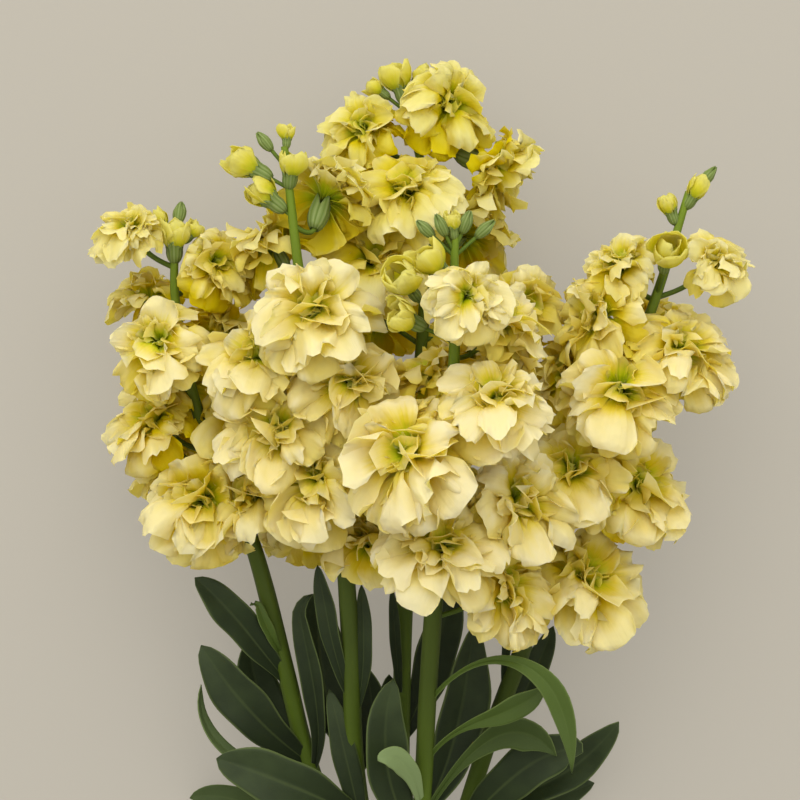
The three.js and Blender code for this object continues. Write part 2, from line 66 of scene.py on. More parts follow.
# %% [markdown]
# ## View, surface and light
# The flowers were seen standing, from the side. Laid down, they are seen from straight above, with the tips
# towards the top of the picture. A long lens keeps the heads free of distortion. Two large soft lights
# stand beyond the tips and above, as light falls on flowers that stand. The bright room fills the shadows,
# more from the tips' side than from the foot. The surface glows faintly, so the bunch throws only a weak
# shade on it, as flowers do that stand well in front of a pale wall.

# %% Camera
VIEW_CENTRE = Vector((0, 223, 65)) * MM
VIEW_WIDTH = 288 * MM
VIEW_DISTANCE = 1300 * MM
SENSOR_WIDTH = 36

camera_data = bpy.data.cameras.new("camera")
camera_data.sensor_width = SENSOR_WIDTH
camera_data.lens = SENSOR_WIDTH * VIEW_DISTANCE / VIEW_WIDTH
camera = bpy.data.objects.new("camera", camera_data)
camera.location = VIEW_CENTRE + Vector((0, 0, VIEW_DISTANCE))
bpy.context.scene.collection.objects.link(camera)
bpy.context.scene.camera = camera
bpy.context.scene.view_settings.view_transform = "Standard"
print("lens", round(camera_data.lens, 1), "mm")

# %% Helpers that build node trees
def put(tree, kind, inputs=None, **settings):
    """Adds one node, sets its options, and fills its inputs with values or other nodes' sockets."""
    node = tree.nodes.new(kind)
    for name, value in settings.items():
        setattr(node, name, value)
    for key, value in (inputs or {}).items():
        if isinstance(value, bpy.types.NodeSocket):
            tree.links.new(value, node.inputs[key])
        else:
            node.inputs[key].default_value = value
    return node


def new_material(name):
    """A material with an empty node tree, and its output node."""
    material = bpy.data.materials.new(name)
    material.use_nodes = True
    material.node_tree.nodes.clear()
    output = put(material.node_tree, "ShaderNodeOutputMaterial")
    return material, material.node_tree, output


def srgb(red, green, blue):
    """A display colour, 0 to 255, as the linear colour that a shader takes."""
    linear = [((c / 255 + 0.055) / 1.055) ** 2.4 if c > 10 else c / 255 / 12.92 for c in (red, green, blue)]
    return (*linear, 1)


def ramp(tree, factor, stops):
    """A colour ramp with the given (position, colour) stops."""
    node = put(tree, "ShaderNodeValToRGB", {"Fac": factor})
    elements = node.color_ramp.elements
    while len(elements) < len(stops):
        elements.new(1)
    for element, (position, colour) in zip(elements, stops):
        element.position = position
        element.color = colour
    return node.outputs["Color"]


def attribute(tree, name):
    """A number that the mesh carries at each point."""
    return put(tree, "ShaderNodeAttribute", attribute_name=name).outputs["Fac"]


def math_node(tree, operation, *values):
    """The result of one calculation with values or sockets."""
    return put(tree, "ShaderNodeMath", dict(enumerate(values)), operation=operation).outputs[0]


def times(tree, first, second):
    """The product of two values or sockets."""
    return math_node(tree, "MULTIPLY", first, second)


def plus(tree, first, second):
    """The sum of two values or sockets."""
    return math_node(tree, "ADD", first, second)


def mixed(tree, factor, first, second, blend="MIX"):
    """Two colours mixed by a factor, or the second one laid over the first by another blend."""
    node = put(tree, "ShaderNodeMix", data_type="RGBA", blend_type=blend)
    for key, value in ((0, factor), (6, first), (7, second)):
        if isinstance(value, bpy.types.NodeSocket):
            tree.links.new(value, node.inputs[key])
        else:
            node.inputs[key].default_value = value
    return node.outputs[2]


def noise(tree, scale, detail=3.0, vector=None):
    """Smooth random patches, by the object's own coordinates or by a given vector."""
    node = put(tree, "ShaderNodeTexNoise", {"Scale": scale, "Detail": detail})
    tree.links.new(vector or put(tree, "ShaderNodeTexCoord").outputs["Object"], node.inputs["Vector"])
    return node.outputs["Fac"]


# %% Surface
FLOOR_COLOUR = srgb(122, 117, 107)
FLOOR_GRAIN = srgb(110, 104, 94)
FLOOR_GLOW = srgb(255, 247, 230)
GLOW_STRENGTH = 0.265
FLOOR_REACH = 3.0  # metres from the origin to each side

floor_material, tree, output = new_material("pale_surface")
grain = noise(tree, 900.0)
tone = mixed(tree, times(tree, grain, 0.06), FLOOR_COLOUR, FLOOR_GRAIN)
bump = put(tree, "ShaderNodeBump", {"Strength": 0.05, "Distance": 0.0002, "Height": grain})
shader = put(tree, "ShaderNodeBsdfPrincipled", {"Base Color": tone, "Roughness": 0.85,
             "Emission Color": FLOOR_GLOW, "Emission Strength": GLOW_STRENGTH, "Normal": bump.outputs[0]})
tree.links.new(shader.outputs[0], output.inputs["Surface"])

floor_mesh = bpy.data.meshes.new("surface")
corners = [(FLOOR_REACH * x, FLOOR_REACH * y, 0) for x, y in ((-1, -1), (1, -1), (1, 1), (-1, 1))]
floor_mesh.from_pydata(corners, [], [(0, 1, 2, 3)])
floor_mesh.materials.append(floor_material)
floor = bpy.data.objects.new("surface", floor_mesh)
bpy.context.scene.collection.objects.link(floor)
print("surface laid")

# %% Light
LIGHT_COLOUR = (1.0, 1.0, 0.98)
ROOM_COLOUR = (1.0, 0.99, 0.96, 1)
ROOM_LIGHT = 0.92
ROOM_SLANT = 0.5  # how much brighter the room is beyond the tips, and dimmer beyond the foot

def soft_light(name, place, aim, size, power, colour):
    """A square area light at a place, turned towards a point."""
    data = bpy.data.lights.new(name, "AREA")
    data.size = size
    data.energy = power
    data.color = colour
    light = bpy.data.objects.new(name, data)
    light.location = place
    light.rotation_euler = (Vector(aim) - Vector(place)).to_track_quat("-Z", "Y").to_euler()
    bpy.context.scene.collection.objects.link(light)


soft_light("key", place=(-0.4, 1.3, 1.0), aim=(0, 0.22, 0.05), size=2.0, power=12.5, colour=LIGHT_COLOUR)
soft_light("front", place=(0.15, 0.75, 1.6), aim=(0, 0.25, 0.05), size=2.0, power=11, colour=LIGHT_COLOUR)

world = bpy.data.worlds.new("studio")
world.use_nodes = True
world.node_tree.nodes["Background"].inputs["Color"].default_value = ROOM_COLOUR
room = world.node_tree
way = put(room, "ShaderNodeSeparateXYZ", {0: put(room, "ShaderNodeTexCoord").outputs["Generated"]})
strength = plus(room, ROOM_LIGHT, times(room, way.outputs["Y"], ROOM_SLANT))
room.links.new(strength, room.nodes["Background"].inputs["Strength"])
bpy.context.scene.world = world

# %% [markdown]
# ## The plan of the bunch
# Each stem is a smooth line from its cut end, through the tie, to its tip. Each open bloom has a centre and
# a reach, the distance from its centre to its petal tips. A short stalk leaves the stem a little lower and
# aims at the bloom's centre, so every bloom faces away from its stem. The smallest blooms are half-open
# balls. The plan repeats the solid model's sizes. A leaf starts at a height on its stem, and bends by two
# points to its tip. A leaf may also be brighter or more felted than others, slender, rolled about its
# midline, or hooked at its tip.

# %% Stems, blooms and leaves, in millimetres
STEM_FOOT_RADIUS = 4.0
STEM_RADIUS = 3.3
STEM_SLIM_OVER = 60  # height at which a stem has slimmed from its foot's radius
STEM_TIP_RADIUS = 1.3
STEM_TAPER_FROM = 150  # height from which it tapers to its tip
STEM_POINTS = 121  # points on a stem's middle line
PEDICEL_RADIUS = 0.9
PEDICEL_DROP = 12  # how far under its bloom a stalk leaves the stem
CALYX_LENGTH = 9
CALYX_RADIUS = 2.9
THROAT_DEPTH = 0.3  # how far the throat lies behind the bloom's centre, as a share of its reach
THROAT_RISE = 0.12  # and how far beyond it, towards the tips
STEM_PITCH = 8.8  # distance between bound stems
BOUND_RUN = 9  # the stems run straight this far to each side of the tie's middle
LOWER_ROW = 6.3  # heights above the surface of the two rows of bound stems
UPPER_ROW = LOWER_ROW + STEM_PITCH * math.sin(math.pi / 3)
TURN_UP, TURN_UP_FROM, TURN_UP_OVER = 0.6, 25, 30  # how far upper blooms turn up, and over which heights
LEAN_BACK, LEAN_BACK_OVER = 0.35, 60  # how far they lean towards the tips, and over which heights
BUD_DROP = 9  # how far under its bud a bud's stalk leaves the stem
BUD_STALK_RADIUS = 0.7
GOLDEN_ANGLE = math.radians(137.508)

# Two old blooms that hang over show their calyx: the way each faces, and how much larger its calyx is.
SIDE_VIEWS = {("mid_left", 0): ((0.25, 0.85, -0.4), 1.35), ("back", 2): ((0.85, -0.3, 0.0), 1.4)}

BALL_UNDER = 12  # blooms with less reach than this are half-open balls

STEMS = {
    "left": {
        "foot": (-16, -128, 4.8),
        "bound": (-STEM_PITCH, LOWER_ROW),
        "route": [
            (-35, 92, 22), (-42, 122, 30), (-54, 170, 42),
            (-65, 198, 48), (-74, 220, 52), (-81.5, 261, 58), (-81, 283, 61),
        ],
        "blooms": [
            (-98.6, 283, 66, 14), (-66, 273, 60, 16), (-87, 243, 74, 19), (-94, 260, 44, 14),
            (-91, 215, 56, 17.5), (-87, 203, 34, 16), (-72, 187, 68, 21), (-60, 246, 44, 19),
            (-84, 226, 12, 20), (-56, 214, 58, 20),
        ],
        "leaves": [
            {"from": 118, "bend": ((-52, 132, 40), (-62, 148, 46)), "tip": (-75, 158, 46), "width": 12},
            {"from": 88, "bend": ((-47, 99, 36), (-62, 114, 42)), "tip": (-73, 133, 38), "width": 16},
            {"from": 78, "bend": ((-44, 92, 12), (-56, 112, 10)), "tip": (-56, 134, 16), "width": 15},
            {"from": 72, "bend": ((-46, 88, 24), (-78, 88, 28)), "tip": (-73, 118, 26),
             "width": 5, "bright": 0.1, "felt": 0.3, "roll": 0.7},
            {"from": 56, "bend": ((-42, 63, 8), (-62, 79, 12)), "tip": (-79, 73, 8),
             "width": 10, "bright": 0.15},
            {"from": 128, "bend": ((-46, 134, 42), (-50, 142, 44)), "tip": (-53, 151, 42),
             "width": 4, "bright": 0.35, "hook": (140, 1)},
            {"from": 84, "bend": ((-26, 104, 40), (-35, 128, 46)), "tip": (-38, 154, 50),
             "width": 8, "hook": (80, -1)},
        ],
        "buds": [(-81.5, 283, 62, 5.6), (-87, 288, 58, 3.4), (-74, 285, 60, 3.4), (-80, 290, 56, 2.8)],
    },
    "mid_left": {
        "foot": (-8, -132, 12.4),
        "bound": (-STEM_PITCH / 2, UPPER_ROW),
        "route": [
            (-16, 85, 34), (-18, 133, 50), (-20, 166, 60), (-22, 187, 66),
            (-27, 216, 72), (-32, 245, 77), (-36, 269, 80), (-39, 295, 83), (-41, 313, 84),
        ],
        "blooms": [
            (-26, 297, 72, 19), (-29, 254, 102, 22), (-52, 238, 88, 20), (-17, 229, 98, 20),
            (-29, 194, 90, 21), (-54, 189, 72, 20), (-9, 172, 72, 18), (-45, 212, 90, 20),
            (-48, 280, 60, 19), (-36, 226, 50, 21), (-33, 183, 44, 20),
        ],
        "leaves": [
            {"from": 68, "bend": ((-26, 77, 50), (-48, 87, 54)), "tip": (-67, 92, 46), "width": 18},
            {"from": 92, "bend": ((-30, 108, 26), (-30, 130, 16)), "tip": (-31, 152, 20), "width": 16},
            {"from": 112, "bend": ((-25, 130, 54), (-27, 148, 56)), "tip": (-30, 163, 56), "width": 7},
            {"from": 106, "bend": ((-12, 120, 50), (-13, 138, 53)), "tip": (-14, 156, 54), "width": 6},
            {"from": 84, "bend": ((-10, 98, 26), (-9, 110, 24)), "tip": (-13, 124, 26), "width": 10},
            {"from": 60, "bend": ((-16, 74, 40), (-20, 94, 42)), "tip": (-26, 117, 40), "width": 9},
        ],
        "buds": [
            (-40, 318, 84, 3), (-47.5, 314, 84, 2.5),
            (-55.4, 307, 84, 5.8), (-49.5, 297, 84, 5.8), (-38.5, 307, 86, 5),
        ],
    },
    "back": {
        "foot": (0, -126, 4.8),
        "bound": (0, LOWER_ROW),
        "route": [
            (0.7, 115, 15), (1.8, 151, 21), (3.6, 187, 27), (6.5, 223, 32),
            (9, 259, 36), (10, 288, 40), (7.6, 310, 43), (4.3, 322, 45), (0, 338, 46),
        ],
        "blooms": [
            (18.5, 331, 56, 18.5), (-15, 321, 50, 16), (37, 305, 48, 18), (2, 297, 68, 20),
            (-12, 272, 64, 20), (46, 257, 60, 17), (-18, 292, 26, 19), (26, 285, 22, 20),
            (-12, 255, 16, 20), (30, 240, 30, 20), (0, 214, 13, 20),
        ],
        "leaves": [
            {"from": 108, "bend": ((-1, 122, 24), (-2, 138, 26)), "tip": (-3, 154, 30), "width": 4},
            {"from": 96, "bend": ((10, 112, 12), (16, 134, 12)), "tip": (20, 158, 14), "width": 15},
            {"from": 82, "bend": ((-4, 94, 7), (-5, 106, 7)), "tip": (-4, 120, 10), "width": 9},
        ],
        "buds": [(-1, 341, 46, 5.4), (8, 341, 46, 4), (-8.8, 337, 46, 3.2)],
    },
    "front": {
        "foot": (8, -130, 12.4),
        "bound": (STEM_PITCH / 2, UPPER_ROW),
        "route": [
            (8.6, 83, 42), (10, 115, 56), (12.2, 151, 71), (14.4, 180, 82),
            (17, 210, 92), (19, 239, 100), (19, 273, 106), (19.8, 285, 107),
        ],
        "blooms": [
            (2, 262, 114, 11), (23, 259, 124, 15), (35, 222, 114, 20), (3, 204, 118, 24),
            (14, 170, 102, 21), (38, 157, 82, 20), (44, 187, 88, 21), (10, 232, 78, 20),
            (24, 190, 62, 20), (38, 250, 92, 18),
        ],
        "leaves": [
            {"from": 58, "bend": ((-2, 74, 50), (-10, 96, 56)), "tip": (-2, 122, 56), "width": 15},
            {"from": 72, "bend": ((6, 90, 58), (-2, 98, 66)), "tip": (-8, 93, 66), "width": 8, "felt": 0.9},
            {"from": 70, "bend": ((19, 86, 38), (25, 110, 38)), "tip": (27, 141, 44), "width": 17},
            {"from": 112, "bend": ((26, 140, 78), (62, 138, 84)), "tip": (61, 88, 70),
             "width": 8, "bright": 0.35, "slender": 1},
            {"from": 90, "bend": ((22, 112, 60), (38, 104, 66)), "tip": (53, 121, 64),
             "width": 9, "bright": 0.3, "slender": 1},
            {"from": 68, "bend": ((18, 88, 48), (40, 117, 52)), "tip": (57, 92, 48),
             "width": 12, "bright": 0.2, "slender": 1},
        ],
        "buds": [
            (18.5, 285, 108, 3.2), (14.6, 283, 109, 2.6), (22.6, 284, 108, 2.6), (29, 282, 107, 2.7),
            (9.5, 282, 107, 2.5), (10.4, 272, 112, 5.6), (0.5, 252, 116, 5.6),
        ],
    },
    "right": {
        "foot": (16, -127, 4.8),
        "bound": (STEM_PITCH, LOWER_ROW),
        "route": [
            (32, 94, 24), (39, 114, 30), (45, 131, 35), (52, 158, 42),
            (58, 173, 46), (69.5, 206, 53), (81, 230, 58), (92, 259, 61), (99, 281, 63), (104, 298, 64),
        ],
        "blooms": [
            (114, 272, 68, 13.5), (78, 271, 68, 15), (95, 273, 78, 11), (71, 253, 72, 18),
            (102.5, 240, 72, 19), (79, 226, 84, 21), (62, 197, 74, 20), (88, 192, 62, 20),
            (69, 157, 62, 22), (94, 248, 34, 18), (74, 216, 12, 20), (58, 232, 56, 18),
        ],
        "leaves": [
            {"from": 92, "bend": ((42, 104, 22), (50, 120, 20)), "tip": (57, 139, 22), "width": 10},
            {"from": 72, "bend": ((46, 76, 22), (66, 82, 24)), "tip": (81, 104, 26), "width": 13},
            {"from": 62, "bend": ((32, 76, 40), (50, 98, 44)), "tip": (68, 95, 42),
             "width": 16, "hook": (70, -0.4)},
            {"from": 58, "bend": ((38, 64, 8), (56, 74, 10)), "tip": (73, 79, 8), "width": 11},
            {"from": 112, "bend": ((38, 132, 36), (41, 146, 40)), "tip": (45, 158, 44), "width": 4},
        ],
        "buds": [(107, 299, 64, 4.2), (96.5, 293.5, 64, 4), (110.5, 303, 64, 2.6)],
    },
}
print("blooms:", {name: len(stem["blooms"]) for name, stem in STEMS.items()})

# %% A stem's middle line
def smooth_line(points, count):
    """A curve through points, eased by the root of their spacing, sampled evenly along its length."""
    points = [np.array(p, float) for p in points]
    points = [2 * points[0] - points[1], *points, 2 * points[-1] - points[-2]]
    samples = []
    for before, start, end, after in zip(points, points[1:], points[2:], points[3:]):
        gaps = [math.sqrt(np.linalg.norm(b - a)) for a, b in ((before, start), (start, end), (end, after))]
        leave = (start - before) / gaps[0] - (end - before) / (gaps[0] + gaps[1]) + (end - start) / gaps[1]
        reach = (end - start) / gaps[1] - (after - start) / (gaps[1] + gaps[2]) + (after - end) / gaps[2]
        leave, reach = leave * gaps[1], reach * gaps[1]
        for t in np.linspace(0, 1, 24, endpoint=False):
            samples.append((2 * start - 2 * end + leave + reach) * t**3
                           + (3 * end - 3 * start - 2 * leave - reach) * t**2 + leave * t + start)
    samples = np.array([*samples, points[-2]])
    length = np.concatenate([[0], np.cumsum(np.linalg.norm(np.diff(samples, axis=0), axis=1))])
    at = np.linspace(0, length[-1], count)
    return np.stack([np.interp(at, length, samples[:, axis]) for axis in range(3)], axis=1)


def at_height(line, height):
    """The point of a stem's middle line at a height along Y."""
    return np.array([np.interp(height, line[:, 1], line[:, axis]) for axis in range(3)])


def stem_radius(height, tip_height):
    """A stem slims above the tie and tapers to its tip."""
    slimmed = np.clip((height - BOUND_RUN) / (STEM_SLIM_OVER - BOUND_RUN), 0, 1)
    radius = STEM_FOOT_RADIUS + (STEM_RADIUS - STEM_FOOT_RADIUS) * slimmed
    tapered = np.clip((height - STEM_TAPER_FROM) / (tip_height - STEM_TAPER_FROM), 0, 1)
    return radius + (STEM_TIP_RADIUS - radius) * tapered


def unit(vector):
    """The same direction with length 1."""
    return vector / np.linalg.norm(vector)


blooms = []
buds = []
rods = []
for head, stem in STEMS.items():
    x, z = stem["bound"]
    stem["line"] = smooth_line([stem["foot"], (x, -BOUND_RUN, z), (x, BOUND_RUN, z), *stem["route"]],
                               STEM_POINTS)
    stem["tip"] = np.array(stem["route"][-1], float)
    for start, end in zip(stem["line"][::3], stem["line"][3::3]):
        rods.append((start, end, stem_radius(start[1], stem["tip"][1]), None))
    for number, (x, y, z, reach) in enumerate(stem["blooms"]):
        centre = np.array((x, y, z), float)
        start = at_height(stem["line"], min(y - PEDICEL_DROP, stem["tip"][1] - 2))
        upwards = TURN_UP * np.clip((z - TURN_UP_FROM) / TURN_UP_OVER, 0, 1)
        facing = unit(unit(centre - start) + np.array((0, LEAN_BACK * min(1, z / LEAN_BACK_OVER), upwards)))
        turned, calyx_size = SIDE_VIEWS.get((head, number), (facing, 1))
        facing = unit(np.array(turned))
        throat = centre - THROAT_DEPTH * reach * facing + np.array((0, THROAT_RISE * reach, 0))
        foot = throat - CALYX_LENGTH * facing
        rods += [(start, foot, PEDICEL_RADIUS, len(blooms)), (foot, throat, CALYX_RADIUS, len(blooms))]
        blooms.append({"head": head, "centre": centre, "reach": reach, "start": start, "facing": facing,
                       "throat": throat, "id": len(blooms), "calyx_size": calyx_size})
    for x, y, z, radius in stem["buds"]:
        middle = np.array((x, y, z), float)
        root = at_height(stem["line"], min(y - BUD_DROP, stem["tip"][1] - 1))
        facing = unit(middle - root)
        rods.append((root, middle, BUD_STALK_RADIUS, None))
        rods.append((middle - 0.8 * radius * facing, middle + 0.9 * radius * facing, radius, None))
        buds.append({"head": head, "middle": middle, "root": root, "facing": facing, "radius": radius})
print("planned", len(blooms), "blooms and", len(buds), "buds")

# %% [markdown]
# ## One petal
# A petal of double stock has a narrow claw and a broad soft blade with a blunt, uneven, waved end. It is
# modelled as a grid of rows along the petal and columns across it. The midrib leaves the throat nearly
# upright and bends outwards, far in the outer whorls and little in the heart. The blade folds along its
# midrib, twists a little and waves at its edge. Each petal is a thin closed blade, not a bare sheet, so
# that its edge has a thickness that catches light. Every petal carries how far along and across it each
# point lies, and the material reads these to colour the throat, the blade and the edge.

# %% A petal's shape
PETAL_THICKNESS = 0.016  # share of the bloom's reach

def petal_grid(whorl, rng):
    """The middle surface of a petal of reach 1, and how far along and across it each point lies."""
    rows, columns = whorl["grid"]
    length = whorl["length"] * rng.uniform(0.82, 1.12)
    width = whorl["width"] * rng.uniform(0.85, 1.2)
    ruffle = whorl["ruffle"] * rng.uniform(0.7, 1.4)
    along = np.linspace(0, 1, rows)[:, None]
    across = np.sin(np.linspace(-math.pi / 2, math.pi / 2, columns))[None, :]
    phase = rng.uniform(0, 2 * math.pi, 9)

    end = 0.64 + 0.36 * (1 - across**2) ** 0.44
    end = end + rng.uniform(-0.08, 0.05) * np.exp(-(((across - rng.uniform(-0.3, 0.3)) / 0.26) ** 2))
    end = end + 0.04 * np.sin(6 * across + phase[0]) + 0.018 * np.sin(12 * across + phase[1])
    run = length * along * (1 + (end - 1) * along)
    widening = np.clip(along / 0.78, 0, 1)
    side = across * width * (0.16 + 0.84 * widening * widening * (3 - 2 * widening))

    lift, fall = math.radians(whorl["lift"]), math.radians(whorl["fall"] * rng.uniform(0.82, 1.18))
    steps = np.linspace(0, length * 1.15, 60)
    share = np.clip(steps / length, 0, 1)
    curl = math.radians(rng.uniform(-35, 60)) * np.clip((share - 0.62) / 0.38, 0, 1) ** 2
    bend = lift + (fall - lift) * share ** rng.uniform(0.7, 1.3) + curl
    out = np.concatenate([[0], np.cumsum(np.sin(bend[:-1]) * np.diff(steps))]) + 0.04
    up = np.concatenate([[0], np.cumsum(np.cos(bend[:-1]) * np.diff(steps))])
    slope = np.interp(run, steps, bend)

    wave = 0.7 * np.sin(2.6 * across + phase[2]) + 0.45 * np.sin(5.6 * across + phase[3] + 2 * along)
    wave = wave + 0.65 * along**3 * np.sin(9 * across + phase[4])
    margin = np.sin(8.5 * along + phase[5] + 1.5 * np.sign(across)) * abs(across) ** 3
    height = ruffle * along**1.5 * ((0.35 + 0.65 * abs(across)) * wave + 0.7 * margin)
    height = height + 0.6 * ruffle * np.sin(6 * run + phase[6]) * np.sin(7 * side + phase[7]) * along
    height = height + 0.016 * np.sin(15 * run + 9 * side + phase[8]) * np.sin(17 * side + phase[5]) * along
    height = height + rng.uniform(-0.35, 0.45) * width * (abs(across) - 0.5) * along
    height = height + rng.uniform(-0.5, 0.5) * side * along + whorl["cup"] * side**2 / width
    x = np.interp(run, steps, out) - np.cos(slope) * height
    z = np.interp(run, steps, up) + np.sin(slope) * height
    grid = np.stack([x, side + 0 * x, z], axis=-1)
    return grid, along + 0 * across, across + 0 * along


def rim_loop(rows, columns):
    """The grid points round the edge of a blade, in order."""
    rim = [c for c in range(columns)] + [r * columns + columns - 1 for r in range(1, rows)]
    rim += [(rows - 1) * columns + c for c in range(columns - 2, -1, -1)]
    return rim + [r * columns for r in range(rows - 2, 0, -1)]


def closed_blade(grid, thickness):
    """A thin closed skin round a grid surface: its points, its faces, and which grid point each one is."""
    rows, columns = grid.shape[:2]
    normal = np.cross(np.gradient(grid, axis=0), np.gradient(grid, axis=1))
    normal /= np.linalg.norm(normal, axis=-1, keepdims=True) + 1e-12
    offset = normal * (thickness / 2)[..., None]
    points = np.concatenate([(grid + offset).reshape(-1, 3), (grid - offset).reshape(-1, 3)])
    count = rows * columns
    faces = []
    for row in range(rows - 1):
        for column in range(columns - 1):
            a = row * columns + column
            quad = (a, a + columns, a + columns + 1, a + 1)
            faces.append(quad)
            faces.append(tuple(count + i for i in reversed(quad)))
    rim = rim_loop(rows, columns)
    for a, b in zip(rim, rim[1:] + rim[:1]):
        faces.append((a, b, count + b, count + a))
    return points, faces, np.tile(np.arange(count), 2)


def new_mesh(name, points, faces, values=None, sharp=None):
    """A smooth-shaded mesh, with one number for each point under each name in values."""
    mesh = bpy.data.meshes.new(name)
    mesh.from_pydata([tuple(p) for p in points], [], faces)
    for key, numbers in (values or {}).items():
        mesh.attributes.new(key, "FLOAT", "POINT").data.foreach_set("value", np.asarray(numbers, np.float32))
    mesh.shade_smooth()
    if sharp:
        ends = np.zeros(len(mesh.edges) * 2, int)
        mesh.edges.foreach_get("vertices", ends)
        folded = [tuple(sorted(pair)) in sharp for pair in ends.reshape(-1, 2)]
        mesh.attributes.new("sharp_edge", "BOOLEAN", "EDGE").data.foreach_set("value", folded)
    return mesh


def rim_edges(rows, columns):
    """The edges round both faces of a closed blade, which stay crisp under smooth shading."""
    rim = rim_loop(rows, columns)
    pairs = list(zip(rim, rim[1:] + rim[:1]))
    return {tuple(sorted((a + side, b + side))) for a, b in pairs for side in (0, rows * columns)}


# %% The whorls of a bloom, from the outermost to the heart
WHORLS = [
    {"name": "skirt", "petals": 6, "grid": (8, 9), "length": 1.15, "width": 0.35, "lift": 64, "fall": 146,
     "cup": -0.1, "ruffle": 0.15, "covered": 1.0},
    {"name": "outer", "petals": 10, "grid": (9, 12), "length": 1.22, "width": 0.32, "lift": 52, "fall": 116,
     "cup": -0.1, "ruffle": 0.17, "covered": 0.8},
    {"name": "second", "petals": 10, "grid": (9, 12), "length": 1.08, "width": 0.31, "lift": 42, "fall": 98,
     "cup": 0.0, "ruffle": 0.18, "covered": 0.62},
    {"name": "third", "petals": 8, "grid": (8, 9), "length": 0.9, "width": 0.28, "lift": 32, "fall": 82,
     "cup": 0.1, "ruffle": 0.17, "covered": 0.42},
    {"name": "fourth", "petals": 7, "grid": (6, 8), "length": 0.68, "width": 0.24, "lift": 18, "fall": 62,
     "cup": 0.2, "ruffle": 0.14, "covered": 0.22},
    {"name": "heart", "petals": 5, "grid": (6, 7), "length": 0.44, "width": 0.16, "lift": 0, "fall": 34,
     "cup": 0.3, "ruffle": 0.09, "covered": 0.0},
]
VARIANTS = 7  # different petals in each whorl

for number, whorl in enumerate(WHORLS):
    whorl["collection"] = bpy.data.collections.new(f"petals_{whorl['name']}")
    for variant in range(VARIANTS):
        grid, along, across = petal_grid(whorl, np.random.default_rng(100 * number + variant))
        thinning = (1 - 0.6 * along**4) * (1 - 0.6 * across**4)
        points, faces, source = closed_blade(grid, PETAL_THICKNESS * thinning)
        values = {"along": along.ravel()[source], "across": across.ravel()[source]}
        mesh = new_mesh(f"petal_{whorl['name']}_{variant}", points, faces, values, rim_edges(*whorl["grid"]))
        whorl["collection"].objects.link(bpy.data.objects.new(mesh.name, mesh))
print("petal shapes:", VARIANTS * len(WHORLS), "faces of the smallest:", len(faces))

# %% [markdown]
# ## Whorls on every bloom, with Geometry Nodes
# A head has more than three hundred petals, so they are placed by rule. A head starts as one point for each
# bloom, at its throat, which knows the way the bloom faces, its reach and how far it has opened. For each
# whorl the tree copies the point once for each petal, turns each copy by the golden angle, tilts it a
# little at random, and puts one of the whorl's petals there. Realize Instances makes plain mesh of it all.

# %% The tree that grows a head
WHORL_TURN, FIRST_TURN, UNEVEN_TURN = 0.9, 0.3, 0.35  # radians
LEAST_PETALS = 0.55  # share of its petals that a bloom shows when it starts to open
SHUT_HEART, SHUT_MORE = 0.2, 0.75  # radians that a shut bloom's petals lean in, and how much more outside
MOST_ROLL = 1.3

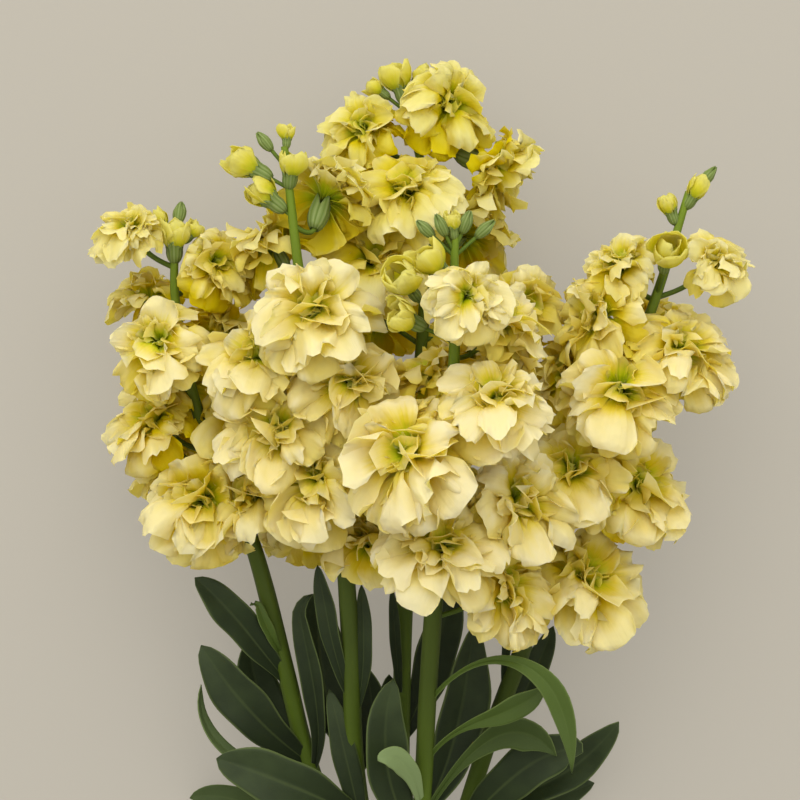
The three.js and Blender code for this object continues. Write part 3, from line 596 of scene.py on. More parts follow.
def petal_tree(material):
    """The node tree that puts every whorl's petals on the throat points, and its inputs' identifiers."""
    tree = bpy.data.node_groups.new("bloom_whorls", "GeometryNodeTree")
    face = tree.interface
    face.new_socket("Geometry", in_out="OUTPUT", socket_type="NodeSocketGeometry")
    face.new_socket("Geometry", in_out="INPUT", socket_type="NodeSocketGeometry")
    sizes = {}
    for name, value in (("Turn between petals", GOLDEN_ANGLE), ("Tilt spread", 0.5), ("Size spread", 0.22)):
        sizes[name] = face.new_socket(name, in_out="INPUT", socket_type="NodeSocketFloat")
        sizes[name].default_value = value
    seed_socket = face.new_socket("Seed", in_out="INPUT", socket_type="NodeSocketInt")
    seed_socket.default_value = 7
    start = put(tree, "NodeGroupInput")
    seed = start.outputs["Seed"]

    def named(name, kind="FLOAT"):
        node = put(tree, "GeometryNodeInputNamedAttribute", {"Name": name}, data_type=kind)
        return node.outputs["Attribute"]

    def stored(geometry, name, value):
        node = put(tree, "GeometryNodeStoreNamedAttribute",
                   {"Geometry": geometry, "Name": name, "Value": value}, data_type="FLOAT", domain="POINT")
        return node.outputs[0]

    def maths(operation, *values):
        return math_node(tree, operation, *values)

    def random(low, high, number):
        own_seed = maths("ADD", seed, float(number))
        node = put(tree, "FunctionNodeRandomValue", {2: low, 3: high, "Seed": own_seed}, data_type="FLOAT")
        return node.outputs[1]

    def turned(rotation, axis, angle):
        turn = put(tree, "FunctionNodeAxisAngleToRotation", {"Axis": axis, "Angle": angle}).outputs[0]
        node = put(tree, "FunctionNodeRotateRotation", {"Rotation": rotation, "Rotate By": turn},
                   rotation_space="LOCAL")
        return node.outputs[0]

    joined = put(tree, "GeometryNodeJoinGeometry")
    for number, whorl in enumerate(WHORLS):
        opened = named("opened")
        share = maths("ADD", LEAST_PETALS, maths("MULTIPLY", opened, 1 - LEAST_PETALS))
        count = maths("ROUND", maths("MULTIPLY", share, float(whorl["petals"])))
        copies = put(tree, "GeometryNodeDuplicateElements",
                     {"Geometry": start.outputs["Geometry"], "Amount": count}, domain="POINT")
        turn = maths("MULTIPLY", copies.outputs["Duplicate Index"], start.outputs["Turn between petals"])
        turn = maths("ADD", turn, maths("ADD", named("turn"), number * WHORL_TURN + FIRST_TURN))
        turn = maths("ADD", turn, random(-UNEVEN_TURN, UNEVEN_TURN, 10 * number))
        spread = start.outputs["Tilt spread"]
        tilt = maths("MULTIPLY", random(-1.0, 1.0, 10 * number + 1), spread)
        shut = SHUT_HEART + SHUT_MORE * (1 - number / len(WHORLS))
        closing = maths("MULTIPLY", maths("SUBTRACT", opened, 1.0), shut)
        lean = maths("ADD", tilt, closing)
        roll = maths("MULTIPLY", random(-MOST_ROLL, MOST_ROLL, 10 * number + 2), spread)
        aim = put(tree, "FunctionNodeEulerToRotation", {0: named("aim", "FLOAT_VECTOR")}).outputs[0]
        rotation = turned(turned(turned(aim, (0, 0, 1), turn), (0, 1, 0), lean), (1, 0, 0), roll)
        size = maths("MULTIPLY", random(-1.0, 1.0, 10 * number + 3), start.outputs["Size spread"])
        size = maths("MULTIPLY", maths("ADD", size, 1.0), named("reach"))
        pick = put(tree, "FunctionNodeRandomValue", {4: 0, 5: VARIANTS - 1,
                   "Seed": maths("ADD", seed, 500.0 + number)}, data_type="INT").outputs[2]
        petals = put(tree, "GeometryNodeCollectionInfo", {"Collection": whorl["collection"],
                     "Separate Children": True, "Reset Children": True}).outputs[0]
        shade = stored(copies.outputs["Geometry"], "shade", random(0.0, 1.0, 10 * number + 4))
        layer = stored(shade, "covered", whorl["covered"])
        placed = put(tree, "GeometryNodeInstanceOnPoints", {"Points": layer, "Instance": petals,
                     "Pick Instance": True, "Instance Index": pick, "Rotation": rotation, "Scale": size})
        tree.links.new(placed.outputs[0], joined.inputs[0])
    real = put(tree, "GeometryNodeRealizeInstances", {"Geometry": joined.outputs[0]})
    finished = put(tree, "GeometryNodeSetMaterial", {"Geometry": real.outputs[0], "Material": material})
    put(tree, "NodeGroupOutput", {"Geometry": finished.outputs[0]})
    return tree, {socket.name: socket.identifier for socket in face.items_tree if socket.in_out == "INPUT"}


def plain_mesh(name, source):
    """The evaluated mesh of an object as a plain object; the source and its modifiers are removed."""
    evaluated = source.evaluated_get(bpy.context.evaluated_depsgraph_get())
    mesh = bpy.data.meshes.new_from_object(evaluated)
    mesh.name = name
    bpy.data.objects.remove(source)
    piece = bpy.data.objects.new(name, mesh)
    bpy.context.scene.collection.objects.link(piece)
    return piece


# %% [markdown]
# ## Petal material
# A petal is thin and moist, so more than half of the light that it scatters passes through it and comes out
# deeper yellow. A Principled shader carries the soft matt skin, and a Translucent one beside it that light.
# The claw is yellow-green, the blade butter yellow and the edge cream, with a painted highlight on the very
# margin. The very base of the petals is painted dark green, as shade in the gaps of the heart. Fine veins fan
# out from the claw, and fine crinkles catch the light. Petals deep in a bloom or in the crowd get a painted
# gold shade, because the light that reaches them has passed through others. Young blooms and buds are
# greener, and the foremost blooms are palest and get the least painted shade.

# %% Petals' finish
# The darkest green, at the very base of the petals, is painted shade for the dark gaps in the heart.
THROAT_PAINTED_SHADE_GREEN = srgb(64, 90, 8)
THROAT_DARK = srgb(176, 204, 10)
THROAT_GREEN = srgb(226, 240, 18)
PETAL_YELLOW = srgb(250, 244, 98)
PETAL_CREAM = srgb(254, 251, 236)
# The very edge of a petal: paler cream, partly a painted highlight.
PETAL_EDGE_AND_HIGHLIGHT = srgb(255, 253, 244)
# Gold laid over petals deep in a bloom or in the crowd: a painted shade.
PAINTED_SHADE_GOLD = srgb(249, 240, 4)
PETAL_YOUNG = srgb(244, 248, 140)
BUD_YELLOW = srgb(233, 230, 60)
THROUGH_GOLD = srgb(251, 245, 24)
PETAL_THROUGH = 0.58  # share of the scattered light that passes through a petal

petal_material, tree, output = new_material("stock_petal")
along, across, deep = attribute(tree, "along"), attribute(tree, "across"), attribute(tree, "deep")
shade, cream, from_throat = attribute(tree, "shade"), attribute(tree, "cream"), attribute(tree, "from_throat")
patches = noise(tree, 140.0, 2.0)
streak_place = put(tree, "ShaderNodeCombineXYZ", {0: times(tree, across, 7.0),
                   1: times(tree, along, 1.3), 2: times(tree, shade, 40.0)})
streaks = noise(tree, 1.0, 2.0, streak_place.outputs[0])
streaked = times(tree, math_node(tree, "SUBTRACT", streaks, 0.5), 0.4)
throat_reach = times(tree, plus(tree, from_throat, streaked), plus(tree, 1.0, times(tree, cream, 0.15)))
# The ramp starts with painted shade at the very base of the petals.
blade = ramp(tree, throat_reach, [(0.05, THROAT_PAINTED_SHADE_GREEN), (0.2, THROAT_DARK), (0.37, THROAT_GREEN),
                                  (0.58, PETAL_YELLOW), (0.86, PETAL_CREAM)])
creaminess = plus(tree, times(tree, cream, 0.75), times(tree, shade, 0.25))
blade = mixed(tree, 0.5, blade, mixed(tree, creaminess, PETAL_YELLOW, PETAL_CREAM), "MULTIPLY")
blade = mixed(tree, times(tree, attribute(tree, "young"), 0.55), blade, PETAL_YOUNG, "MULTIPLY")
# The very edge is made paler, partly as a painted highlight.
rim = math_node(tree, "POWER", math_node(tree, "MAXIMUM", math_node(tree, "ABSOLUTE", across), along), 5.0)
blade = mixed(tree, times(tree, rim, 0.5), blade, PETAL_EDGE_AND_HIGHLIGHT)
# Painted shade: petals deep in their bloom or in the crowd are tinted gold, with faint random patches, and
# the foremost blooms get less of it.
painted_shade_and_patches = plus(tree, times(tree, deep, 0.85), times(tree, patches, 0.12))
painted_shade_and_patches = times(tree, painted_shade_and_patches, math_node(tree, "SUBTRACT", 1.4, times(tree, cream, 0.65)))
blade = mixed(tree, painted_shade_and_patches, blade, PAINTED_SHADE_GOLD, "MULTIPLY")
blade = mixed(tree, times(tree, attribute(tree, "bud"), 0.6), blade, BUD_YELLOW)
crinkles = plus(tree, noise(tree, 260.0, 1.0), times(tree, streaks, 0.5))
bump = put(tree, "ShaderNodeBump", {"Strength": 0.5, "Distance": 0.0014, "Height": crinkles})
skin = put(tree, "ShaderNodeBsdfPrincipled", {"Base Color": blade, "Roughness": 0.55,
           "Specular IOR Level": 0.25, "Normal": bump.outputs[0]})
through_colour = mixed(tree, 1.0, blade, THROUGH_GOLD, "MULTIPLY")
through = put(tree, "ShaderNodeBsdfTranslucent", {"Color": through_colour})
both = put(tree, "ShaderNodeMixShader", {0: PETAL_THROUGH, 1: skin.outputs[0], 2: through.outputs[0]})
tree.links.new(both.outputs[0], output.inputs["Surface"])
print("petal material ready")

# %% [markdown]
# ## Room for every bloom
# Real petals crumple against each other where blooms crowd. Each bloom keeps to its own side of the plane
# halfway to each neighbour, and clear of stems and stalks. A petal point that would reach past such a plane
# is drawn in along its line from the bloom's centre, softly, so that tips fold up against the neighbour.
# Petals may pass the plane by a few millimetres, more within a head than between heads, and all of them
# hang back a little towards the foot.

# %% Press a head's petals into their rooms
PRESS = 10  # how sharply a petal is stopped: a higher number bends only its very tip
EXTRA_ROOM = 0.9  # how far petals may reach into the room of stems and stalks
OUTER_LIMIT = 1.2  # share of a bloom's reach beyond which no petal goes
OVERLAP = (7.0, 3.0)  # how far petals may reach past the halfway plane to a bloom of their head, of another
DROOP = 0.2  # how far a petal's tip hangs back towards the stem's foot, as a share of its reach

NEAR_BLOOM, NEAR_STALK = 60, 45  # what lies farther off than this takes no room
FLOOR_GAP = 0.2  # petals stay this far above the surface

def rooms():
    """For each bloom, the planes that its petals keep behind: directions and distances from its centre."""
    planes = []
    for bloom in blooms:
        normals, distances = [np.array((0, 0, -1.0))], [bloom["centre"][2] - FLOOR_GAP]
        for other in blooms:
            apart = other["centre"] - bloom["centre"]
            distance = np.linalg.norm(apart)
            if other is not bloom and distance < NEAR_BLOOM:
                normals.append(apart / distance)
                extra = OVERLAP[other["head"] != bloom["head"]]
                distances.append(distance * bloom["reach"] / (bloom["reach"] + other["reach"]) + extra)
        for start, end, radius, owner in rods:
            if owner == bloom["id"]:
                continue
            rod = end - start
            along = np.clip(np.dot(bloom["centre"] - start, rod) / np.dot(rod, rod), 0, 1)
            apart = start + rod * along - bloom["centre"]
            distance = np.linalg.norm(apart)
            if distance < NEAR_STALK:
                normals.append(apart / distance)
                distances.append(distance - radius + EXTRA_ROOM)
        planes.append((np.array(normals), np.array(distances)))
    return planes


def press(points, owner, planes):
    """Moves every point (millimetres) into the room of the bloom that owns it."""
    for bloom in blooms:
        mine = owner == bloom["id"]
        if not mine.any():
            continue
        from_throat = np.linalg.norm(points[mine] - bloom["throat"], axis=1)
        points[mine, 1] -= DROOP * from_throat**2 / bloom["reach"]
        ray = points[mine] - bloom["centre"]
        length = np.linalg.norm(ray, axis=1) + 1e-9
        ray /= length[:, None]
        normals, distances = planes[bloom["id"]]
        towards = ray @ normals.T
        reach = np.where(towards > 1e-6, distances / np.maximum(towards, 1e-6), np.inf).min(axis=1)
        reach = np.minimum(reach, OUTER_LIMIT * bloom["reach"])
        pressed = length / (1 + (length / reach) ** PRESS) ** (1 / PRESS)
        points[mine] = bloom["centre"] + ray * pressed[:, None]


# %% [markdown]
# ## Light deep in a head
# Light that reaches the inside of a head has passed through many petals, so a gold shade is painted there.
# Each petal point therefore carries how deep it lies: by its place in its own bloom, and by how crowded the
# space round it is. To measure the crowd, the space is cut into small cubes, and the share of them that hold
# petals is counted round each point.

# %% How deep a petal lies
CUBE = 5.0  # side of the cubes in which petals are counted
CUBES_ROUND = 2  # how many cubes are counted to each side
CROWD_FROM, CROWD_OVER = 0.5, 0.26  # petals are shaded from this crowding, and fully so this much above it
DEEP_SHARE, CROWD_SHARE = 0.65, 0.6  # how much the own bloom and the crowd round it shade a petal

def throat_shades(mesh, points, owner):
    """How far each point lies from its throat, in reaches, and how deep in its own bloom it is."""
    covered = np.zeros(len(points))
    mesh.attributes["covered"].data.foreach_get("value", covered)
    from_throat, behind = np.zeros(len(points)), np.zeros(len(points))
    for bloom in blooms:
        mine = owner == bloom["id"]
        away = points[mine] - bloom["throat"]
        from_throat[mine] = np.linalg.norm(away, axis=1) / bloom["reach"]
        behind[mine] = -(away @ bloom["facing"]) / bloom["reach"]
    deep = np.clip((covered - from_throat) / 0.3, 0, 1) + np.clip((behind + 0.15) / 0.5, 0, 1)
    return from_throat, np.clip(deep, 0, 1)


def crowding(points):
    """The share of the small cubes near each point that hold petals: about a half at the heads' surface, and
    more inside them."""
    cubes = ((points - points.min(axis=0)) / CUBE).astype(int) + CUBES_ROUND
    filled = np.zeros(cubes.max(axis=0) + CUBES_ROUND + 1)
    filled[tuple(cubes.T)] = 1
    shifts = range(-CUBES_ROUND, CUBES_ROUND + 1)
    for axis in range(3):
        filled = sum(np.roll(filled, shift, axis) for shift in shifts) / len(shifts)
    return filled[tuple(cubes.T)]


# %% [markdown]
# ## Five heads
# Each head's points get the tree as a modifier. The blooms face a little unevenly, as real ones do. The
# result is made a plain mesh and pressed into its rooms, and then the crowding is measured over all five
# heads at once.

# %% Grow the five heads
FACE_SPREAD = 0.4  # how unevenly the blooms face
TURN_STEP = 1.7  # radians from each bloom's first petal to the next one's
FIRST_SEED = 7
SHUT_REACH, OPEN_OVER = 11, 4  # a bloom of this reach starts to open, and one with this much more is open
YOUNG_FROM, YOUNG_OVER = 235, 80  # heights over which blooms get younger
CREAM_FROM, CREAM_OVER = 30, 70  # distances from the surface over which blooms get paler

tree, sockets = petal_tree(petal_material)
planes = rooms()
rng = np.random.default_rng(5)
heads, grown, shades = {}, [], []
for head in STEMS:
    own = [bloom for bloom in blooms if bloom["head"] == head and bloom["reach"] >= BALL_UNDER]
    seeds = bpy.data.meshes.new("seeds")
    seeds.from_pydata([tuple(bloom["throat"] * MM) for bloom in own], [], [])
    turned = [bloom["facing"] + FACE_SPREAD * rng.uniform(-1, 1, 3) for bloom in own]
    aims = [Vector(facing).to_track_quat("Z", "Y").to_euler() for facing in turned]
    aim = seeds.attributes.new("aim", "FLOAT_VECTOR", "POINT")
    aim.data.foreach_set("vector", np.array(aims, np.float32).ravel())
    values = {"reach": [bloom["reach"] * MM for bloom in own],
              "opened": [np.clip((bloom["reach"] - SHUT_REACH) / OPEN_OVER, 0, 1) for bloom in own],
              "turn": [bloom["id"] * TURN_STEP for bloom in own],
              "young": [np.clip((bloom["centre"][1] - YOUNG_FROM) / YOUNG_OVER, 0, 1) for bloom in own],
              "cream": [np.clip((bloom["centre"][2] - CREAM_FROM) / CREAM_OVER, 0, 1) for bloom in own]}
    for key, numbers in values.items():
        seeds.attributes.new(key, "FLOAT", "POINT").data.foreach_set("value", np.array(numbers, np.float32))
    seeds.attributes.new("bloom", "INT", "POINT").data.foreach_set("value", [bloom["id"] for bloom in own])
    source = bpy.data.objects.new("seeds", seeds)
    bpy.context.scene.collection.objects.link(source)
    modifier = source.modifiers.new("whorls", "NODES")
    modifier.node_group = tree
    modifier[sockets["Seed"]] = FIRST_SEED + len(heads)
    piece = plain_mesh(f"head_{head}", source)
    mesh = piece.data
    points = np.zeros(len(mesh.vertices) * 3)
    mesh.vertices.foreach_get("co", points)
    points = points.reshape(-1, 3) / MM
    owner = np.zeros(len(mesh.vertices), int)
    mesh.attributes["bloom"].data.foreach_get("value", owner)
    press(points, owner, planes)
    mesh.vertices.foreach_set("co", (points * MM).ravel())
    mesh.update()
    shades.append(throat_shades(mesh, points, owner))
    grown.append(points)
    heads[head] = piece
    print(piece.name, "blooms", len(own), "faces", len(mesh.polygons))

crowd = crowding(np.concatenate(grown))
print("crowding of the petals, quartiles:", np.round(np.quantile(crowd, [0.05, 0.25, 0.5, 0.75, 0.95]), 2))
for piece, points, (from_throat, deep) in zip(heads.values(), grown, shades):
    own_crowd, crowd = crowd[:len(points)], crowd[len(points):]
    crowded = np.clip((own_crowd - CROWD_FROM) / CROWD_OVER, 0, 1)
    deep = np.clip(DEEP_SHARE * deep + CROWD_SHARE * crowded, 0, 1)
    for key, numbers in (("from_throat", from_throat), ("deep", deep)):
        piece.data.attributes.new(key, "FLOAT", "POINT").data.foreach_set("value", numbers.astype(np.float32))

for whorl in WHORLS:
    for petal in list(whorl["collection"].objects):
        bpy.data.objects.remove(petal)
    bpy.data.collections.remove(whorl["collection"])
bpy.data.node_groups.remove(tree)

# %% Hand the heads over
for head, piece in heads.items():
    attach(piece, "root")
    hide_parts(*[f"bloom_{head}_{i + 1:02d}" for i, bloom in enumerate(STEMS[head]["blooms"])
                         if bloom[3] >= BALL_UNDER])

# %% [markdown]
# ## Stems, stalks and calyces
# A stem of stock is round, faintly ribbed and finely felted. Each bloom hangs on a thin stalk that bends up
# into a calyx of four pressed sepals with pointed tips. Buds stand on shorter stalks: the youngest are shut
# in their grey-green sepals, and the oldest show their furled petals. The half-open balls are large buds of
# this kind.

# %% Tubes, and parts joined into one mesh
def tube(points, radii, sides, rib=0.0, ribs=5):
    """A closed tube through points: corners, faces and numbers. rib is how far its ribs stand out."""
    points = np.asarray(points, float)
    directions = [unit(b - a) for a, b in zip(points, points[1:])]
    tangent = directions[0]
    guide = np.array((1.0, 0, 0)) if abs(tangent[2]) > 0.9 else np.array((0, 0, 1.0))
    side = unit(np.cross(guide, tangent))
    turn = np.linspace(0, 2 * math.pi, sides, endpoint=False)
    rings = []
    for number, centre in enumerate(points):
        before, after = directions[max(number - 1, 0)], directions[min(number, len(directions) - 1)]
        tangent = unit(before + after)
        side = unit(side - tangent * (side @ tangent))
        up = np.cross(tangent, side)
        radius = radii[number] * (1 + rib * np.cos(ribs * turn + 0.02 * number))
        rings.append(centre + radius[:, None] * (np.cos(turn)[:, None] * side + np.sin(turn)[:, None] * up))
    count = len(points)
    corners = np.concatenate([*rings, rings[0], rings[-1]])
    faces = []
    for ring in range(count - 1):
        for a in range(sides):
            b = (a + 1) % sides
            faces.append((ring * sides + a, ring * sides + b, (ring + 1) * sides + b, (ring + 1) * sides + a))
    faces.append(tuple(count * sides + a for a in reversed(range(sides))))
    faces.append(tuple((count + 1) * sides + a for a in range(sides)))
    along = np.repeat([*np.linspace(0, 1, count), 0, 1], sides)
    across = np.tile(turn / math.pi - 1, count + 2)
    cut = np.repeat([0.0] * count + [1.0, 0.0], sides)
    return corners, faces, {"along": along, "across": across, "cut": cut}


def joined(name, parts, material):
    """One piece made of parts, each with its corners, faces and numbers; numbers that a part lacks are 0."""
    keys = sorted({key for _, _, values in parts for key in values})
    points, faces = [], []
    numbers = {key: [] for key in keys}
    for corners, part_faces, values in parts:
        shift = sum(len(p) for p in points)
        points.append(corners)
        faces += [tuple(i + shift for i in face) for face in part_faces]
        for key in keys:
            numbers[key].append(np.broadcast_to(np.asarray(values.get(key, 0.0), float), (len(corners),)))
    points = np.concatenate(points)
    mesh = new_mesh(name, points * MM, faces, {key: np.concatenate(numbers[key]) for key in keys})
    mesh.materials.append(material)
    piece = bpy.data.objects.new(name, mesh)
    bpy.context.scene.collection.objects.link(piece)
    return piece


def frame_along(facing, turn=0.0):
    """Three directions for a thing that faces a way: two across it and the way itself, as rows."""
    rotation = Vector(facing).to_track_quat("Z", "Y").to_matrix() @ Quaternion((0, 0, 1), turn).to_matrix()
    return np.array(rotation).T


# %% Calyces
CALYX_ROWS = 8
CALYX_COLUMNS = 33
SEPAL_THICKNESS = 0.35
FULL_CALYX_REACH = 15  # a bloom with less reach than this has a smaller calyx

def calyx(base, facing, length, radius, closing, flare, turn):
    """Four pressed sepals round an axis. closing is the share of the radius left at their tips."""
    v = np.linspace(0, 1, CALYX_ROWS)[:, None]
    angle = np.linspace(0, 2 * math.pi, CALYX_COLUMNS)[None, :]
    sepal = abs(np.cos(2 * angle))
    height = length * v * (1 - 0.34 * v**2 * (1 - sepal) ** 0.8)
    bulge = np.interp(v, [0, 0.12, 0.35, 0.6, 0.85, 1], [0.42, 0.74, 1, 0.97, (1 + closing) / 2, closing])
    keel = 0.07 * np.cos(12 * angle) * np.sin(math.pi * v)
    spread = radius * (bulge * (0.88 + 0.12 * sepal + keel) + flare * v**6 * sepal)
    local = np.stack([spread * np.cos(angle), spread * np.sin(angle), height + 0 * angle], axis=-1)
    corners, faces, source = closed_blade(local, np.full(local.shape[:2], SEPAL_THICKNESS))
    axes = frame_along(facing, turn)
    values = {"along": (v + 0 * angle).ravel()[source], "across": (sepal + 0 * v).ravel()[source],
              "tone": 2.0, "stripe": (0.5 + 0.5 * np.cos(12 * angle) + 0 * v).ravel()[source]}
    return base + corners @ axes, faces, values


def bloom_stalk(bloom):
    """The bent stalk and the calyx under an open bloom."""
    size = min(1.0, bloom["reach"] / FULL_CALYX_REACH) * bloom["calyx_size"]
    foot = bloom["throat"] - CALYX_LENGTH * size * bloom["facing"]
    t = np.linspace(0, 1, 9)[:, None]
    knee = foot - 0.45 * np.linalg.norm(foot - bloom["start"]) * bloom["facing"]
    line = (1 - t) ** 2 * bloom["start"] + 2 * (1 - t) * t * knee + t**2 * (foot + 0.6 * bloom["facing"])
    radii = PEDICEL_RADIUS * (1 + 0.25 * np.linspace(-1, 1, 9) ** 4)
    corners, faces, values = tube(line, radii, 8, rib=0.05, ribs=4)
    sepals = calyx(foot, bloom["facing"], length=CALYX_LENGTH * size * 1.12, radius=CALYX_RADIUS * size,
                   closing=0.66, flare=0.12, turn=bloom["id"])
    return [(corners, faces, {**values, "tone": 1.4}), sepals]


# %% Buds
BUD_PETAL = {"grid": (9, 9), "length": 1.9, "width": 0.66, "lift": 66, "fall": -34,
             "cup": 0.5, "ruffle": 0.03}
BALL_SHARE = 0.6  # radius of a half-open ball, as a share of its bloom's reach
SLIM = 2.9  # radius under which a bud is still shut in its sepals
OUTER_FURLED, INNER_FURLED = 4, 3

def bud_green(bud, number):
    """A bud's stalk and its sepals."""
    radius, facing = bud["radius"], bud["facing"]
    base = bud["middle"] - 1.25 * radius * facing
    stalk = tube(np.linspace(bud["root"], base + 0.5 * facing, 5), np.full(5, BUD_STALK_RADIUS), 6)
    stalk[2]["tone"] = 1.6
    if radius >= SLIM:
        foot = base - 0.7 * radius * facing
        sepals = calyx(foot, facing, 1.6 * radius, 0.5 * radius, closing=1.3, flare=0.12, turn=number)
    else:
        sepals = calyx(base, facing, 3.3 * radius, 0.8 * radius, closing=0.16, flare=0.0, turn=number)
    return [stalk, sepals]


def bud_petals(bud, number):
    """Furled petals: four outer ones that wrap three inner ones."""
    parts = []
    radius, facing = bud["radius"], bud["facing"]
    base = bud["middle"] - 1.1 * radius * facing
    rng = np.random.default_rng(900 + number)
    for petal in range(OUTER_FURLED + INNER_FURLED):
        inner = petal >= OUTER_FURLED
        grid, along, across = petal_grid(BUD_PETAL, rng)
        corners, faces, source = closed_blade(grid, PETAL_THICKNESS * 2 * (1 - 0.45 * along))
        turn = number + petal * math.tau / (INNER_FURLED if inner else OUTER_FURLED) + rng.uniform(-0.3, 0.3)
        size = radius * (1.15 if inner else 1.35) * rng.uniform(0.92, 1.04)
        length = along.ravel()[source]
        values = {"along": length, "across": across.ravel()[source], "bud": 1.0, "from_throat": length,
                  "shade": rng.uniform()}
        parts.append((base + size * corners @ frame_along(facing, turn), faces, values))
    return parts


# %% [markdown]
# ## Leaves
# Leaves are long and strap-like, with a narrow foot, the widest part beyond the middle and a blunt tip. The
# blade folds along the midrib, its edge waves, and it turns a little over its length. Some tips hook over.
# A grid of rows and columns follows each leaf's bent midline, and gets a thickness with a thin edge.

# %% A leaf
LEAF_ROWS = 27
LEAF_COLUMNS = 11
LEAF_THICKNESS = 0.7
LEAF_CREASE = 0.16
LEAF_LIFT = 0.15  # how far above the surface a leaf that would touch it stays
HOOK_FROM = 0.84  # share of the length where a hooked tip starts to bend over

def leaf_blade(stem, leaf, number):
    """One leaf's corners, faces and numbers."""
    rng = np.random.default_rng(300 + number)
    control = np.array([at_height(stem["line"], leaf["from"]), *leaf["bend"], leaf["tip"]], float)
    t = np.linspace(0, 1, LEAF_ROWS)[:, None]
    line = (1 - t) ** 3 * control[0] + 3 * (1 - t) ** 2 * t * control[1]
    line = line + 3 * (1 - t) * t**2 * control[2] + t**3 * control[3]
    step = np.gradient(line, axis=0)
    length = np.linalg.norm(step, axis=1, keepdims=True)
    tangent = step / length
    side = np.cross((0, 0, 1.0), tangent)
    side /= np.linalg.norm(side, axis=1, keepdims=True)
    up = np.cross(tangent, side)
    hook, hook_side = leaf.get("hook", (0, 0))
    over = np.clip((t - HOOK_FROM) / (1 - HOOK_FROM), 0, 1)
    bend = math.radians(hook) * over
    bent = tangent * np.cos(bend) + (up * (1 - abs(hook_side)) + side * hook_side) * np.sin(bend)
    first = int(HOOK_FROM * (LEAF_ROWS - 1))
    for row in range(first, LEAF_ROWS - 1):
        line[row + 1] = line[row] + bent[row] * length[row]
    tangent = bent / np.linalg.norm(bent, axis=1, keepdims=True)
    side = side - tangent * np.sum(side * tangent, axis=1, keepdims=True)
    side /= np.linalg.norm(side, axis=1, keepdims=True)
    up = np.cross(tangent, side)
    roll = leaf.get("roll", rng.uniform(-0.3, 0.3)) + rng.uniform(-0.45, 0.45) * (t - 0.4)
    side, up = side * np.cos(roll) + up * np.sin(roll), up * np.cos(roll) - side * np.sin(roll)
    across = np.linspace(-1, 1, LEAF_COLUMNS)[None, :]
    slender = leaf.get("slender", 0)
    width = np.sin(math.pi * t ** (1.5 + slender)) ** (0.64 + 0.45 * slender) + 0.2 * (1 - t) ** 1.5 + 0.02
    width = 0.5 * leaf["width"] * width
    ripple = 1 + 0.05 * np.sin(17 * t + rng.uniform(0, 6)) * np.sign(across)
    out = across * width * ripple
    phase = rng.uniform(0, 6, 3)
    height = LEAF_CREASE * width * (2 * abs(across) - 1) * rng.uniform(0.4, 1.5)
    height = height + 0.09 * width * np.sin(13 * t + phase[0] + 2 * np.sign(across)) * abs(across) ** 2
    height = height - 0.35 * np.exp(-((across / 0.12) ** 2)) * (1 - t)
    grid = line[:, None] + out[..., None] * side[:, None] + height[..., None] * up[:, None]
    corners, faces, source = closed_blade(grid, LEAF_THICKNESS * (1 - 0.4 * abs(across)) + 0 * t)
    corners[:, 2] = np.maximum(corners[:, 2], LEAF_LIFT)
    values = {"along": (t + 0 * across).ravel()[source], "across": (across + 0 * t).ravel()[source],
              "upper": np.repeat([1.0, 0.0], grid.shape[0] * grid.shape[1]), "shade": rng.uniform(),
              "bright": leaf.get("bright", 0.0), "felt": leaf.get("felt", 0.0)}
    return corners, faces, values


# %% [markdown]
# ## Material of the greens
# Leaves are dark and cool, with a thin pale margin that is partly a painted highlight, and a lighter midrib.
# Patches of fine felt turn them grey, most of all at the tips. Stems are fresher green, and painted darker
# where a head shades them. The felted sepals are the palest, with darker stripes between their ribs.

# %% Greens' finish
LEAF_DARK = srgb(19, 28, 9)
LEAF_GREEN = srgb(39, 53, 16)
LEAF_FELT = srgb(84, 98, 60)
LEAF_FRESH = srgb(112, 140, 40)
LEAF_PALE = srgb(136, 156, 100)
STEM_GREEN = srgb(78, 98, 13)
STEM_SHADE = srgb(34, 44, 10)
STEM_FRESH = srgb(112, 134, 30)
SEPAL_GREEN = srgb(176, 186, 126)
SEPAL_DARK = srgb(92, 114, 34)
CUT_PALE = srgb(206, 214, 150)
# Pale colour of the midrib, and of the margin, where it is partly a painted highlight.
PALE_RIB_AND_EDGE_HIGHLIGHT = srgb(136, 154, 84)
THROUGH_GREEN = srgb(190, 230, 60)
GREEN_THROUGH = 0.14  # share of the scattered light that passes through a leaf

def faded(tree, value, start, end, most=1.0):
    """0 where a value is at start, rising to most where it is at end."""
    scale = {"Value": value, "From Min": start, "From Max": end, "To Max": most}
    return put(tree, "ShaderNodeMapRange", scale).outputs[0]


green_material, tree, output = new_material("stock_green")
along, across, tone = attribute(tree, "along"), attribute(tree, "across"), attribute(tree, "tone")
shade, upper = attribute(tree, "shade"), attribute(tree, "upper")
bright, cut = attribute(tree, "bright"), attribute(tree, "cut")
patches = noise(tree, 90.0, 3.0)
fine = noise(tree, 1500.0, 2.0)
distance = math_node(tree, "ABSOLUTE", across)
leaf = mixed(tree, plus(tree, times(tree, patches, 0.7), times(tree, shade, 0.3)), LEAF_DARK, LEAF_GREEN)
leaf = mixed(tree, bright, leaf, LEAF_FRESH)
leaf = mixed(tree, attribute(tree, "felt"), leaf, LEAF_PALE)
leaf = mixed(tree, times(tree, math_node(tree, "SUBTRACT", 1.0, upper), 0.35), leaf, LEAF_FELT)
felt = times(tree, times(tree, along, along), times(tree, patches, 0.55))
leaf = mixed(tree, felt, leaf, LEAF_FELT)
